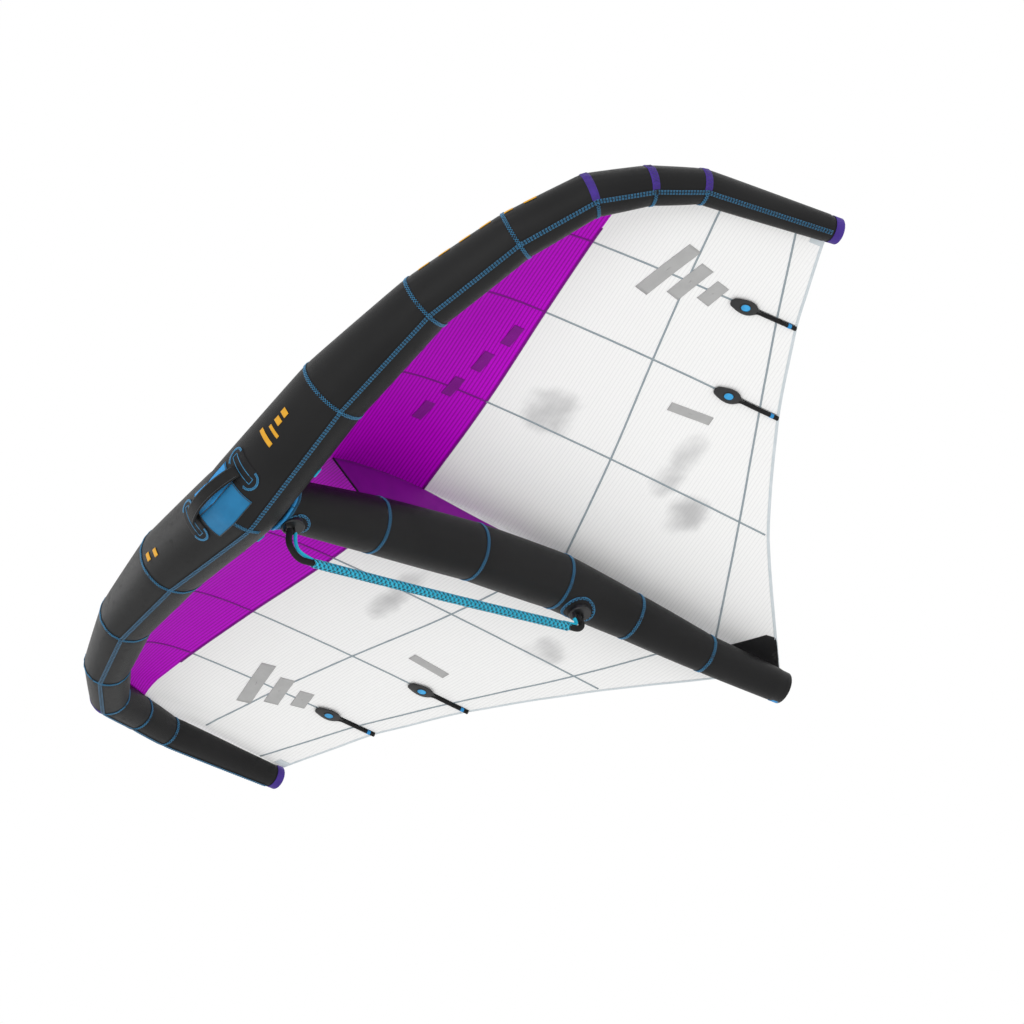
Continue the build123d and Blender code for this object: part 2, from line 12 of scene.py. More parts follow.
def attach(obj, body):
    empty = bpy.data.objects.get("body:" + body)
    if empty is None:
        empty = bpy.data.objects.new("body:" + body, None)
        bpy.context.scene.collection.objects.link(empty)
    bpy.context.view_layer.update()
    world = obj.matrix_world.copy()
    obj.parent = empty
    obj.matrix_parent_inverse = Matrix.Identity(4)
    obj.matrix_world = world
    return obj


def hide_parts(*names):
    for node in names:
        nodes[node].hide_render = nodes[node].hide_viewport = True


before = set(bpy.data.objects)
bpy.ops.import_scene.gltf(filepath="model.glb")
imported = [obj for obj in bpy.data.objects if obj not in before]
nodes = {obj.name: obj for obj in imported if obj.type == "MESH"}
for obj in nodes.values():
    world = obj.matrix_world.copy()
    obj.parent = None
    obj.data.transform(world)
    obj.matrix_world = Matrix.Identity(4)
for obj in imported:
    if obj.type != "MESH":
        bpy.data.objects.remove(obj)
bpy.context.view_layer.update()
SCENE = bpy.context.scene
SCENE.view_settings.view_transform = "Standard"

# Sizes in metres, angles in degrees. +X is right, +Y goes from nose to tail, +Z is up.
SIDES = ((1, "right"), (-1, "left"))
BARRELS = 7
STRUT_BARRELS = 6
TIP_CAP_LENGTH = 0.030
RING_TAPE_WIDTH = 0.012
STITCH_HALF_WIDTH = 0.0052
BAND_START = 30
NOSE = Vector((0, -0.690, 0.093))
UP = Vector((0, 0, 1))

# The cloth's cut, as in the CAD model: the tail end of each rib, its camber, and how high up
# the tube its front edge is sewn.
RIB_TAILS = [
    (0, 1.992, 0.093), (0.418, 1.632, 0.185), (0.783, 1.392, 0.271), (1.070, 1.238, 0.325),
    (1.200, 1.177, 0.338), (1.290, 1.136, 0.347), (1.345, 1.112, 0.353), (1.380, 1.098, 0.358),
]
CAMBER = [0.225, 0.143, 0.110, 0.077, 0.048, 0.024, 0.010, 0.001]
ATTACH_ELEVATION = [50, 50, 48, 45, 40, 32, 24, 15]
ATTACH_GAP = 0.0018
TIP_RIB_PLACE = 0.93
CAMBER_PEAK = 0.25
# Cross seams, straight in plan: y from the nose on the centre line, and its change with x.
COLOUR_SEAM = (0.668, -0.134)
REAR_SEAM = (1.180, -0.310)
TAIL_SEAM = (1.748, -0.545)
CLOTH = 0.0012
BATTEN_RIBS = (2, 3)
# Each: distance behind the cap's front, half width, share of the cap's half thickness.
CAP_STATIONS = (
    (0.000, 0.003, 0.30), (0.002, 0.009, 0.60), (0.006, 0.0135, 0.82), (0.014, 0.0168, 0.94),
    (0.026, 0.0205, 1.0), (0.038, 0.0235, 1.0), (0.050, 0.0250, 1.0), (0.060, 0.0248, 1.0),
    (0.069, 0.0232, 0.98), (0.077, 0.0200, 0.94), (0.084, 0.0150, 0.88), (0.090, 0.0095, 0.80),
    (0.096, 0.0065, 0.66), (0.104, 0.0055, 0.50),
)
CAP_WINDOW = 0.050
BATTEN_LENGTH = 0.232

# The strut tube's front ring, inside the leading edge, and where its cloth begins behind the canopy.
STRUT_FRONT = ((0, 0.060, 0.028), 0.070)
STRUT_SKIN_START = 0.032

# The strut handle's rope, the route of the CAD model.
ROPE = [(0, 0.222, -0.1505), (0, 0.520, -0.118), (0, 0.850, -0.0775), (0, 1.146, -0.0381)]
ROPE_RADIUS = 0.0115


# ---------------------------------------------------------------- camera, light and floor
def make_camera():
    data = bpy.data.cameras.new("camera")
    camera = bpy.data.objects.new("camera", data)
    SCENE.collection.objects.link(camera)
    right = Vector((0.5862, 0.8002, -0.1266)).normalized()
    away = Vector((-0.5694, 0.5181, 0.6383)).normalized()
    down = away.cross(right).normalized()
    right = down.cross(away)
    turn = Matrix((right, -down, -away)).transposed().to_4x4()
    camera.matrix_world = Matrix.Translation((6.9542, -6.0053, -7.3485)) @ turn
    data.lens = 143.1
    data.sensor_width = 36
    data.shift_x = -0.0026
    data.clip_end = 2000
    SCENE.camera = camera


def make_light():
    world = bpy.data.worlds.new("studio")
    SCENE.world = world
    world.use_nodes = True
    background = world.node_tree.nodes["Background"]
    background.inputs["Color"].default_value = (1, 1, 1, 1)
    background.inputs["Strength"].default_value = 1.0
    lamps = (
        ("key", (4.0, -6.0, -3.0), 110, 2.0),
        ("fill", (-6.0, -3.0, 3.0), 60, 3.0),
        ("top", (1.0, 2.0, 7.0), 25, 4.0),
    )
    for name, place, power, size in lamps:
        data = bpy.data.lights.new(name, "AREA")
        data.energy = power
        data.size = size
        lamp = bpy.data.objects.new(name, data)
        SCENE.collection.objects.link(lamp)
        lamp.location = place
        lamp.rotation_euler = (Vector((0, 0, 0.1)) - Vector(place)).to_track_quat("-Z", "Y").to_euler()


def make_floor():
    mesh = bpy.data.meshes.new("floor")
    half, height = 400, -9.0
    mesh.from_pydata(
        [(-half, -half, height), (half, -half, height), (half, half, height), (-half, half, height)],
        [], [(0, 1, 2, 3)],
    )
    floor = bpy.data.objects.new("floor", mesh)
    SCENE.collection.objects.link(floor)
    material = bpy.data.materials.new("pale_floor")
    material.use_nodes = True
    shader = material.node_tree.nodes["Principled BSDF"]
    shader.inputs["Base Color"].default_value = (0.86, 0.86, 0.85, 1)
    shader.inputs["Roughness"].default_value = 0.8
    mesh.materials.append(material)


# ---------------------------------------------------------------- material building blocks
class Graph:
    """A short way to write a material's nodes."""

    def __init__(self, name):
        self.material = bpy.data.materials.new(name)
        self.material.use_nodes = True
        self.tree = self.material.node_tree
        self.shader = self.tree.nodes["Principled BSDF"]
        self.coords = self.tree.nodes.new("ShaderNodeTexCoord")

    def node(self, kind, inputs=(), **settings):
        made = self.tree.nodes.new(kind)
        for key, value in settings.items():
            setattr(made, key, value)
        for socket, value in dict(inputs).items():
            self.feed(made.inputs[socket], value)
        return made

    def feed(self, socket, value):
        if isinstance(value, bpy.types.NodeSocket):
            self.tree.links.new(value, socket)
        else:
            socket.default_value = value

    def math(self, operation, first, second=0.0, third=0.0):
        return self.node(
            "ShaderNodeMath", {0: first, 1: second, 2: third}, operation=operation
        ).outputs[0]

    def mix(self, share, first, second):
        made = self.node("ShaderNodeMix", data_type="RGBA")
        self.feed(made.inputs[0], share)
        self.feed(made.inputs[6], first)
        self.feed(made.inputs[7], second)
        return made.outputs[2]

    def noise(self, scale, detail=3.0):
        made = self.node("ShaderNodeTexNoise", {"Scale": scale, "Detail": detail})
        self.feed(made.inputs["Vector"], self.coords.outputs["Object"])
        return made.outputs["Fac"]

    def ramp(self, value, low, high):
        made = self.node("ShaderNodeMapRange", {0: value, 1: low, 2: high}, interpolation_type="SMOOTHSTEP")
        return made.outputs[0]

    def split(self, vector):
        return self.node("ShaderNodeSeparateXYZ", {0: vector}).outputs

    def weave(self, pitch):
        """Height of a plain weave on the UV map, threads a pitch apart."""
        u, v, _ = self.split(self.coords.outputs["UV"])
        turn = 2 * math.pi / pitch
        across = self.math("SINE", self.math("MULTIPLY", u, turn))
        along = self.math("SINE", self.math("MULTIPLY", v, turn))
        return self.math("MULTIPLY_ADD", self.math("MULTIPLY", across, along), 0.5, 0.5)

    def lines(self, value, pitch, share):
        """1 on narrow lines a pitch apart, 0 between them."""
        phase = self.math("FRACT", self.math("DIVIDE", value, pitch))
        return self.math("LESS_THAN", phase, share)

    def bump(self, height, strength, distance):
        made = self.node("ShaderNodeBump", {"Strength": strength, "Distance": distance, "Height": height})
        self.feed(self.shader.inputs["Normal"], made.outputs[0])

    def finish(self, colour=None, **settings):
        if colour is not None:
            self.feed(self.shader.inputs["Base Color"], colour)
        for key, value in settings.items():
            self.feed(self.shader.inputs[key.replace("_", " ")], value)
        return self.material


def rgba(red, green, blue):
    return (red, green, blue, 1)


def tube_cloth():
    g = Graph("tube_cloth")
    weave = g.weave(0.0016)
    blotch = g.ramp(g.noise(3.0, 4), 0.35, 0.7)
    wear = g.ramp(g.noise(40, 6), 0.55, 0.8)
    dark = g.mix(blotch, rgba(0.0075, 0.0075, 0.008), rgba(0.012, 0.012, 0.0125))
    colour = g.mix(g.math("MULTIPLY", weave, 0.30), dark, rgba(0.022, 0.022, 0.023))
    g.bump(weave, 0.35, 0.0004)
    roughness = g.math("MULTIPLY_ADD", wear, 0.12, 0.46)
    return g.finish(colour, Roughness=roughness, Specular_IOR_Level=0.17)


def plain_cloth(name, colour, other, pitch=0.0014, roughness=0.6):
    g = Graph(name)
    weave = g.weave(pitch)
    patchy = g.ramp(g.noise(25, 5), 0.3, 0.75)
    tone = g.mix(patchy, rgba(*colour), rgba(*other))
    tint = g.mix(g.math("MULTIPLY", weave, 0.3), tone, rgba(*[min(1, c * 1.5 + 0.002) for c in colour]))
    g.bump(weave, 0.5, 0.0005)
    return g.finish(tint, Roughness=roughness, Sheen_Weight=0.02, Specular_IOR_Level=0.22)


def thread_material(name, colour):
    g = Graph(name)
    fibres = g.noise(900, 3)
    tint = g.mix(fibres, rgba(*[c * 0.65 for c in colour]), rgba(*colour))
    g.bump(fibres, 0.4, 0.0003)
    return g.finish(tint, Roughness=0.5, Sheen_Weight=0.2)


def plastic(name, colour, roughness=0.38):
    g = Graph(name)
    grain = g.noise(700, 4)
    smudge = g.noise(18, 4)
    tint = g.mix(g.ramp(smudge, 0.4, 0.8), rgba(*colour), rgba(*[c * 1.5 + 0.004 for c in colour]))
    g.bump(grain, 0.25, 0.0003)
    return g.finish(tint, Roughness=g.math("MULTIPLY_ADD", smudge, 0.15, roughness - 0.07))


def canopy_cloth():
    """Ripstop cloth: a magenta front part, a white rear part, fine lines along the seams, and soft grey
    patches of painted shade on the white part.
    """
    g = Graph("canopy_cloth")
    x, y, _ = g.split(g.coords.outputs["Object"])
    side = g.math("ABSOLUTE", x)
    from_nose = g.math("SUBTRACT", y, NOSE.y)
    place = g.math("MULTIPLY_ADD", side, -COLOUR_SEAM[1], from_nose)
    white_part = g.math("GREATER_THAN", place, COLOUR_SEAM[0])
    fine = g.lines(place, 0.0118, 0.26)
    cross = g.lines(side, 0.0118, 0.10)
    net = g.math("MAXIMUM", fine, g.math("MULTIPLY", cross, 0.35))
    cloud = g.ramp(g.noise(2.6, 3), 0.42, 0.72)
    shade = g.math("MULTIPLY", cloud, 0.30)
    magenta = g.mix(shade, rgba(0.56, 0.0, 0.66), rgba(0.45, 0.0, 0.54))
    magenta = g.mix(net, magenta, rgba(0.27, 0.0, 0.33))
    # Painted shade: soft grey patches that darken the white part below.
    painted_shade = painted_shade_mask(g, x, from_nose)
    white = g.mix(g.math("MULTIPLY", net, 0.24), rgba(0.985, 0.985, 0.985), rgba(0.60, 0.61, 0.62))
    white = g.mix(g.math("MULTIPLY", painted_shade, 0.62), white, rgba(0.34, 0.34, 0.35))
    colour = g.mix(white_part, magenta, white)
    g.bump(net, 0.25, 0.0004)
    return g.finish(colour, Roughness=0.5, Specular_IOR_Level=0.08)


def painted_shade_mask(g, x, from_nose):
    """Painted shade: a mask of soft grey patches that darken the cloth's colour the way shaded creases would.
    """
    # Each patch of painted shade: centre x, centre distance from the nose, half width, half length.
    shade_patches = (
        (0.47, 0.80, 0.10, 0.10), (0.50, 1.24, 0.14, 0.06), (0.34, 1.37, 0.10, 0.07),
        (-0.43, 0.87, 0.13, 0.06), (-0.37, 1.38, 0.07, 0.08),
    )
    ripple = g.noise(9, 3)
    total = 0.0
    for centre_x, centre_y, wide, long in shade_patches:
        far_x = g.math("DIVIDE", g.math("SUBTRACT", x, centre_x), wide)
        far_y = g.math("DIVIDE", g.math("SUBTRACT", from_nose, centre_y), long)
        far = g.math("ADD", g.math("MULTIPLY", far_x, far_x), g.math("MULTIPLY", far_y, far_y))
        near = g.math("SUBTRACT", 1.1, far)
        edge = g.math("MULTIPLY_ADD", g.math("SUBTRACT", ripple, 0.5), 2.2, near)
        total = g.math("MAXIMUM", g.ramp(edge, 0.0, 1.5), total)
    return total


def rope_material():
    g = Graph("rope_cover")
    fibres = g.noise(1200, 3)
    tone = g.mix(g.ramp(g.noise(260, 2), 0.35, 0.65), rgba(0.014, 0.52, 0.76), rgba(0.026, 0.62, 0.88))
    tint = g.mix(g.math("MULTIPLY", fibres, 0.25), tone, rgba(0.006, 0.22, 0.33))
    g.bump(fibres, 0.5, 0.0004)
    return g.finish(tint, Roughness=0.55, Sheen_Weight=0.25)


MATERIALS = {}


def material(name):
    return MATERIALS[name]


def make_materials():
    blue_thread = (0.026, 0.27, 0.54)
    MATERIALS.update(
        tube=tube_cloth(),
        canopy=canopy_cloth(),
        black=plain_cloth("black_cloth", (0.007, 0.007, 0.008), (0.012, 0.012, 0.013)),
        webbing=plain_cloth("black_webbing", (0.006, 0.006, 0.0065), (0.010, 0.010, 0.010), 0.0024, 0.65),
        purple=plain_cloth("purple_band", (0.060, 0.026, 0.26), (0.045, 0.02, 0.2), 0.0018),
        blue=plain_cloth("blue_cloth", (0.028, 0.29, 0.66), (0.025, 0.25, 0.56), 0.0030, 0.5),
        thread=thread_material("blue_thread", blue_thread),
        seam=plain_cloth("seam_tape_grey", (0.30, 0.36, 0.40), (0.36, 0.42, 0.45)),
        seam_dark=plain_cloth("seam_tape_plum", (0.20, 0.0, 0.24), (0.24, 0.0, 0.29)),
        hem=plain_cloth("hem_tape", (0.60, 0.66, 0.70), (0.68, 0.73, 0.77)),
        plum=plain_cloth("profile_cloth", (0.24, 0.0, 0.30), (0.20, 0.0, 0.26), 0.004),
        pale=plain_cloth("profile_cloth_pale", (0.82, 0.82, 0.84), (0.72, 0.72, 0.74), 0.004),
        print_grey=plain_cloth("grey_print", (0.42, 0.42, 0.42), (0.46, 0.46, 0.46), 0.003),
        gold=plain_cloth("gold_print", (0.72, 0.36, 0.028), (0.62, 0.30, 0.02), 0.003),
        plastic=plastic("moulded_black", (0.010, 0.010, 0.011)),
        blue_plastic=plastic("moulded_blue", (0.022, 0.30, 0.62), 0.3),
        rope=rope_material(),
        cyan=plain_cloth("cyan_cover", (0.015, 0.46, 0.66), (0.01, 0.38, 0.56), 0.003),
        rope_dark=thread_material("rope_tracer", (0.012, 0.035, 0.05)),
        thread_dark=thread_material("dark_thread", (0.018, 0.026, 0.034)),
        wear_lower=plain_cloth("blue_wear_cloth", (0.016, 0.17, 0.36), (0.013, 0.14, 0.30), 0.0034, 0.55),
        film=plastic("bladder_film", (0.5, 0.52, 0.53), 0.3),
        rod=plastic("glass_fibre", (0.5, 0.48, 0.4), 0.35),
    )


# ---------------------------------------------------------------- mesh helpers
def piece(name, vertices, faces, material_name, uvs=None, body="wing"):
    """A new mesh piece with one material that rides on a body."""
    mesh = bpy.data.meshes.new(name)
    mesh.from_pydata([tuple(v) for v in vertices], [], faces)
    mesh.validate()
    if uvs is not None:
        layer = mesh.uv_layers.new(name="cloth")
        for loop in mesh.loops:
            layer.data[loop.index].uv = uvs[loop.vertex_index]
    mesh.materials.append(material(material_name))
    mesh.shade_smooth()
    made = bpy.data.objects.new(name, mesh)
    SCENE.collection.objects.link(made)
    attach(made, body)
    return made


def outward(made):
    """The same piece with all its faces turned outward."""
    fix = bmesh.new()
    fix.from_mesh(made.data)
    bmesh.ops.recalc_face_normals(fix, faces=fix.faces)
    fix.to_mesh(made.data)
    fix.free()
    made.data.shade_smooth()
    return made


def turns(count, whole=2 * math.pi):
    """Angles evenly round a circle, the first one once."""
    return [whole * step / count for step in range(count)]


def heading(line, index):
    """The direction of a line of points at one of them."""
    return (line[min(index + 1, len(line) - 1)] - line[max(index - 1, 0)]).normalized()


def grid_faces(rows, columns, closed=False):
    faces = []
    wrap = columns if closed else columns - 1
    for i in range(rows - 1):
        for j in range(wrap):
            k = (j + 1) % columns
            faces.append((i * columns + j, (i + 1) * columns + j, (i + 1) * columns + k, i * columns + k))
    return faces


def ring_points(middle, first, second, sides):
    """Points of an ellipse round a middle, from its two half axes."""
    return [middle + first * math.cos(bend) + second * math.sin(bend) for bend in turns(sides)]


def closed_sweep(rings, base=0):
    """The faces of a closed form through rings of points that are numbered from base."""
    sides = len(rings[0])
    last = base + (len(rings) - 1) * sides
    faces = [tuple(base + i for i in face) for face in grid_faces(len(rings), sides, True)]
    return faces + [tuple(base + k for k in reversed(range(sides))), tuple(last + k for k in range(sides))]


def plate(name, lower, upper, rows, columns, material_name, uvs):
    """A closed thin plate between two grids of the same size."""
    count = rows * columns
    faces = [tuple(reversed(face)) for face in grid_faces(rows, columns)]
    faces += [tuple(index + count for index in face) for face in grid_faces(rows, columns)]
    rim = [j for j in range(columns)]
    rim += [i * columns + columns - 1 for i in range(1, rows)]
    rim += [(rows - 1) * columns + j for j in range(columns - 2, -1, -1)]
    rim += [i * columns for i in range(rows - 2, 0, -1)]
    for a, b in zip(rim, rim[1:] + rim[:1]):
        faces.append((a, b, b + count, a + count))
    made = piece(name, lower + upper, faces, material_name, uvs * 2)
    return outward(made)


def threads(name, runs, radius, body="wing", material_name="thread"):
    """Stitching: round threads along the runs of points, as one mesh."""
    vertices, faces, uvs = [], [], []
    sides = 5
    for run in runs:
        rings = []
        for index, point in enumerate(run):
            ahead = heading(run, index)
            out = ahead.orthogonal().normalized()
            rings.append(ring_points(point, out * radius, ahead.cross(out) * radius, sides))
            uvs += [(side * radius, index * radius) for side in range(sides)]
        faces += closed_sweep(rings, len(vertices))
        vertices += [point for ring in rings for point in ring]
    return piece(name, vertices, faces, material_name, uvs, body)


# ---------------------------------------------------------------- tubes, read from the frame
def corners(name):
    mesh = nodes[name].data
    places = np.empty(len(mesh.vertices) * 3)
    mesh.vertices.foreach_get("co", places)
    return places.reshape(-1, 3)


def ring_of(points):
    """Centre and radius of points that lie on one ring."""
    middle = points.mean(axis=0)
    _, _, axes = np.linalg.svd(points - middle)
    flat = (points - middle) @ axes[:2].T
    centre = middle + (flat.max(axis=0) + flat.min(axis=0)) / 2 @ axes[:2]
    radius = np.linalg.norm(points - centre, axis=1).max()
    return Vector(centre), float(radius)


def shared_points(first, second):
    """Which corners of one node lie on the other, and the corners themselves."""
    one, other = corners(first), corners(second)
    tree = KDTree(len(other))
    for index, point in enumerate(other):
        tree.insert(point, index)
    tree.balance()
    return one, np.array([tree.find(point)[2] < 3e-4 for point in one])


def shared_ring(first, second):
    points, shared = shared_points(first, second)
    return ring_of(points[shared])


def end_ring(last, neighbour):
    """The free end of the last barrel."""
    points, shared = shared_points(last, neighbour)
    start = points[shared].mean(axis=0)
    axis = points[~shared].mean(axis=0) - start
    reach = (points - start) @ (axis / np.linalg.norm(axis))
    return ring_of(points[reach > reach.max() - 0.004])


class Tube:
    """A chain of tapered cloth barrels between rings, and the places on its surface."""

    def __init__(self, rings):
        self.centres = [ring[0] for ring in rings]
        self.radii = [ring[1] for ring in rings]
        runs = [(b - a).normalized() for a, b in zip(self.centres, self.centres[1:])]
        tangents = [runs[0]] + [(a + b).normalized() for a, b in zip(runs, runs[1:])] + [runs[-1]]
        self.level = [Vector((0, 0, 1)).cross(tangent).normalized() for tangent in tangents]
        self.lift = [tangent.cross(level) for tangent, level in zip(tangents, self.level)]
        self.places = [0.0]
        for a, b in zip(self.centres, self.centres[1:]):
            self.places.append(self.places[-1] + (b - a).length)

    def barrel(self, place):
        """Which barrel a place is on, and its share of that barrel's length."""
        index = min(bisect_right(self.places, place, 1) - 1, len(self.places) - 2)
        return index, (place - self.places[index]) / (self.places[index + 1] - self.places[index])

    def radius(self, place):
        index, share = self.barrel(place)
        return self.radii[index] + share * (self.radii[index + 1] - self.radii[index])

    def relief(self, place, angle):
        """How far the inflated cloth stands out: drawn in beside ring seams and under the end caps."""
        near = min(abs(place - seam) for seam in self.places[1:-1])
        turn = math.radians(angle)
        around = Vector((math.cos(turn) * 6, math.sin(turn) * 6, place * 7))
        pucker = noise.noise(around) * 0.0018 * math.exp(-near / 0.022)
        soft = noise.noise(around * 0.3) * 0.0009
        rise = 0.0012 * (1 - math.exp(-near / 0.05)) - 0.0016 * math.exp(-((near / 0.010) ** 2))
        rise += pucker + soft
        free_end = min(place, self.places[-1] - place)
        hold = min(1.0, max(0.0, (free_end - 0.024) / 0.012))
        return rise * hold - 0.0008 * (1 - hold)

    def point(self, place, angle, proud=0.0):
        """Angle 0 is aft or inboard, 90 is up, 180 is forwards or outboard, 270 is down."""
        proud += self.relief(place, angle)
        index, share = self.barrel(place)
        turn = math.radians(angle)
        ends = []
        for i in (index, index + 1):
            out = self.level[i] * math.cos(turn) + self.lift[i] * math.sin(turn)
            ends.append(self.centres[i] + out * (self.radii[i] + proud))
        return ends[0].lerp(ends[1], share)


def barrel_tube(first_ring, names):
    """The tube through the rings that neighbouring barrels share, from its first ring on."""
    rings = [first_ring] + [shared_ring(a, b) for a, b in zip(names, names[1:])]
    return Tube(rings + [end_ring(names[-1], names[-2])])


def leading_edge_tube():
    names = [f"le_casing_left_{number}" for number in range(BARRELS, 0, -1)]
    names += [f"le_casing_right_{number}" for number in range(1, BARRELS + 1)]
    return barrel_tube(end_ring(names[0], names[1]), names)


def strut_tube():
    names = [f"strut_casing_{number}" for number in range(1, STRUT_BARRELS + 1)]
    return barrel_tube((NOSE + Vector(STRUT_FRONT[0]), STRUT_FRONT[1]), names)


def tube_skin(name, tube, replaced, around=112, begin=0.0):
    """An inflated cloth tube with closed ends, its rows about 12 mm apart."""
    places = []
    for start, end in zip(tube.places, tube.places[1:]):
        rows = max(6, int((end - start) / 0.012))
        places += [start + (end - start) * row / rows for row in range(rows)]
    places.append(tube.places[-1])
    places = [begin] + [place for place in places if place > begin + 0.001]
    vertices, uvs = [], []
    for place in places:
        for angle in turns(around, 360):
            vertices.append(tube.point(place, angle))
            uvs.append((math.radians(angle) * tube.radius(place), place))
    rows = len(places)
    faces = grid_faces(rows, around, True)
    faces += [tuple(range(around)), tuple((rows - 1) * around + k for k in reversed(range(around)))]
    made = outward(piece(name, vertices, faces, "tube", uvs))
    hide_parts(*replaced)
    return made


def tube_patch(name, tube, place, angle, half_place, half_arc, proud, thickness, material_name,
               outline="box", steps=(15, 25)):
    """A thin patch on a tube. half_arc is measured round the tube, and an oval has round ends."""
    rows, columns = steps
    radius = tube.radius(place)
    lower, upper, uvs = [], [], []
    for row in range(rows):
        for column in range(columns):
            across = 2 * row / (rows - 1) - 1
            along = 2 * column / (columns - 1) - 1
            width = half_place
            if outline == "oval":
                straight = 1 - half_place / half_arc
                over = max(0.0, abs(along) - straight) / (1 - straight)
                width = half_place * math.sqrt(max(0.02, 1 - over * over))
            d_place = across * width
            d_angle = math.degrees(along * half_arc / radius)
            edge = min(1 - abs(across), 1 - abs(along))
            crown = thickness * min(1, 0.35 + 6 * edge)
            lower.append(tube.point(place + d_place, angle + d_angle, proud))
            upper.append(tube.point(place + d_place, angle + d_angle, proud + crown))
            uvs.append((d_place, along * half_arc))
    return plate(name, lower, upper, rows, columns, material_name, uvs)


def oval_outline(tube, place, angle, half_place, half_arc, proud, count, wave=0.0, waves=40):
    """Points round an oval on a tube; wave makes the line zigzag in and out."""
    radius = tube.radius(place)
    straight = half_arc - half_place
    points = []
    for index in range(count + 1):
        turn = 2 * math.pi * index / count
        grow = wave * (1 if (index * waves * 2 // count) % 2 else -1) if wave else 0
        round_radius = half_place + grow
        across = round_radius * math.cos(turn)
        along = round_radius * math.sin(turn) + (straight if math.sin(turn) >= 0 else -straight)
        points.append(tube.point(place + across, angle + math.degrees(along / radius), proud))
    return points


def ring_band(name, tube, index, thickness, around=112):
    """A black tape round a ring seam."""
    width = RING_TAPE_WIDTH
    offsets = [-width / 2, -width / 2, -width / 4, 0, width / 4, width / 2, width / 2]
    rises = [0, thickness * 0.7, thickness, thickness, thickness, thickness * 0.7, 0]
    vertices, uvs = [], []
    for offset, rise in zip(offsets, rises):
        for angle in turns(around, 360):
            vertices.append(tube.point(tube.places[index] + offset, angle, rise))
            uvs.append((math.radians(angle) * tube.radii[index], offset + rise))
    faces = grid_faces(len(offsets), around, True)
    last = (len(offsets) - 1) * around
    for column in range(around):
        after = (column + 1) % around
        faces.append((last + column, column, after, last + after))
    return outward(piece(name, vertices, faces, "black", uvs))


def arc_band(name, tube, index, width, arc, thickness, material_name):
    """A cloth band that goes part of the way round a ring seam."""
    columns = 90
    offsets = (-0.5, -0.42, 0.0, 0.42, 0.5)
    lower, upper, uvs = [], [], []
    for offset in offsets:
        for column in range(columns):
            angle = arc[0] + (arc[1] - arc[0]) * column / (columns - 1)
            place = tube.places[index] + offset * width
            lower.append(tube.point(place, angle))
            upper.append(tube.point(place, angle, thickness * (0.4 if abs(offset) == 0.5 else 1.0)))
            uvs.append((math.radians(angle) * tube.radii[index], offset * width))
    return plate(name, lower, upper, len(offsets), columns, material_name, uvs)


def diamond_stitches(tube, index, half_width, proud, pitch=0.015, arc=(0, 360)):
    """Two zigzag threads that cross, round a ring seam."""
    length = math.radians(arc[1] - arc[0]) * tube.radii[index]
    count = max(8, int(length / pitch))
    runs = []
    for phase in (0, 1):
        run = []
        for step in range(count * 2 + 1):
            angle = arc[0] + (arc[1] - arc[0]) * step / (count * 2)
            side = half_width if (step + phase) % 2 else -half_width
            run.append(tube.point(tube.places[index] + side, angle, proud))
        runs.append(run)
    return runs


# ---------------------------------------------------------------- canopy
def camber_share(share):
    if share < CAMBER_PEAK:
        return 1 - (1 - share / CAMBER_PEAK) ** 3
    return 1 - ((share - CAMBER_PEAK) / (1 - CAMBER_PEAK)) ** 1.3


def rib_ends(tube):
    """The front and tail ends of the ribs of the right half, from the centre line to the tip."""
    middle = BARRELS
    fronts = [
        tube.point(tube.places[middle + index] - 1e-6, elevation, ATTACH_GAP)
        for index, elevation in enumerate(ATTACH_ELEVATION[:-1])
    ]
    last = tube.places[-2] + (tube.places[-1] - tube.places[-2]) * TIP_RIB_PLACE
    fronts.append(tube.point(last, ATTACH_ELEVATION[-1], ATTACH_GAP))
    tails = [NOSE + Vector(tail) for tail in RIB_TAILS]
    return fronts, tails


def catmull(values, place):
    """Smooth interpolation through a list of vectors or numbers."""
    index = min(int(place), len(values) - 2)
    share = place - index
    before = values[index - 1] if index > 0 else values[0] * 2 - values[1]
    after = values[index + 2] if index + 2 < len(values) else values[-1] * 2 - values[-2]
    one, two = values[index], values[index + 1]
    return (
        two * 0.5 * share * (1 + share * (4 - 3 * share))
        + one * 0.5 * (2 + share * share * (3 * share - 5))
        + before * 0.5 * share * (share * (2 - share) - 1)
        + after * 0.5 * share * share * (share - 1)
    )


def linear(values, place):
    index = min(int(place), len(values) - 2)
    share = place - index
    return values[index] * (1 - share) + values[index + 1] * share


def canopy_point(fronts, tails, rib, share):
    """A place on the right half of the cloth: rib 0 is the centre line, share 0 the front."""
    straight = linear(fronts, rib) * (1 - share) + linear(tails, rib) * share
    straight = straight + Vector((0, 0, linear(CAMBER, rib) * camber_share(share)))
    if rib >= len(fronts) - 1:
        return straight
    smooth = linear(fronts, rib) * (1 - share) + catmull(tails, rib) * share
    smooth = smooth + Vector((0, 0, catmull(CAMBER, rib) * camber_share(share)))
    blend = min(1, share / 0.25)
    return straight.lerp(smooth, 0.7 * blend)


def settled(point, share):
    """The cloth's small creases and the loose flutter towards its rear edge."""
    flutter = noise.noise(Vector((point.x * 9, point.y * 5, 3.0))) * 0.0016 * share ** 2
    crease = noise.noise(Vector((point.x * 7, point.y * 16, 8.0))) * 0.0008
    return point + Vector((0, 0, flutter + crease))


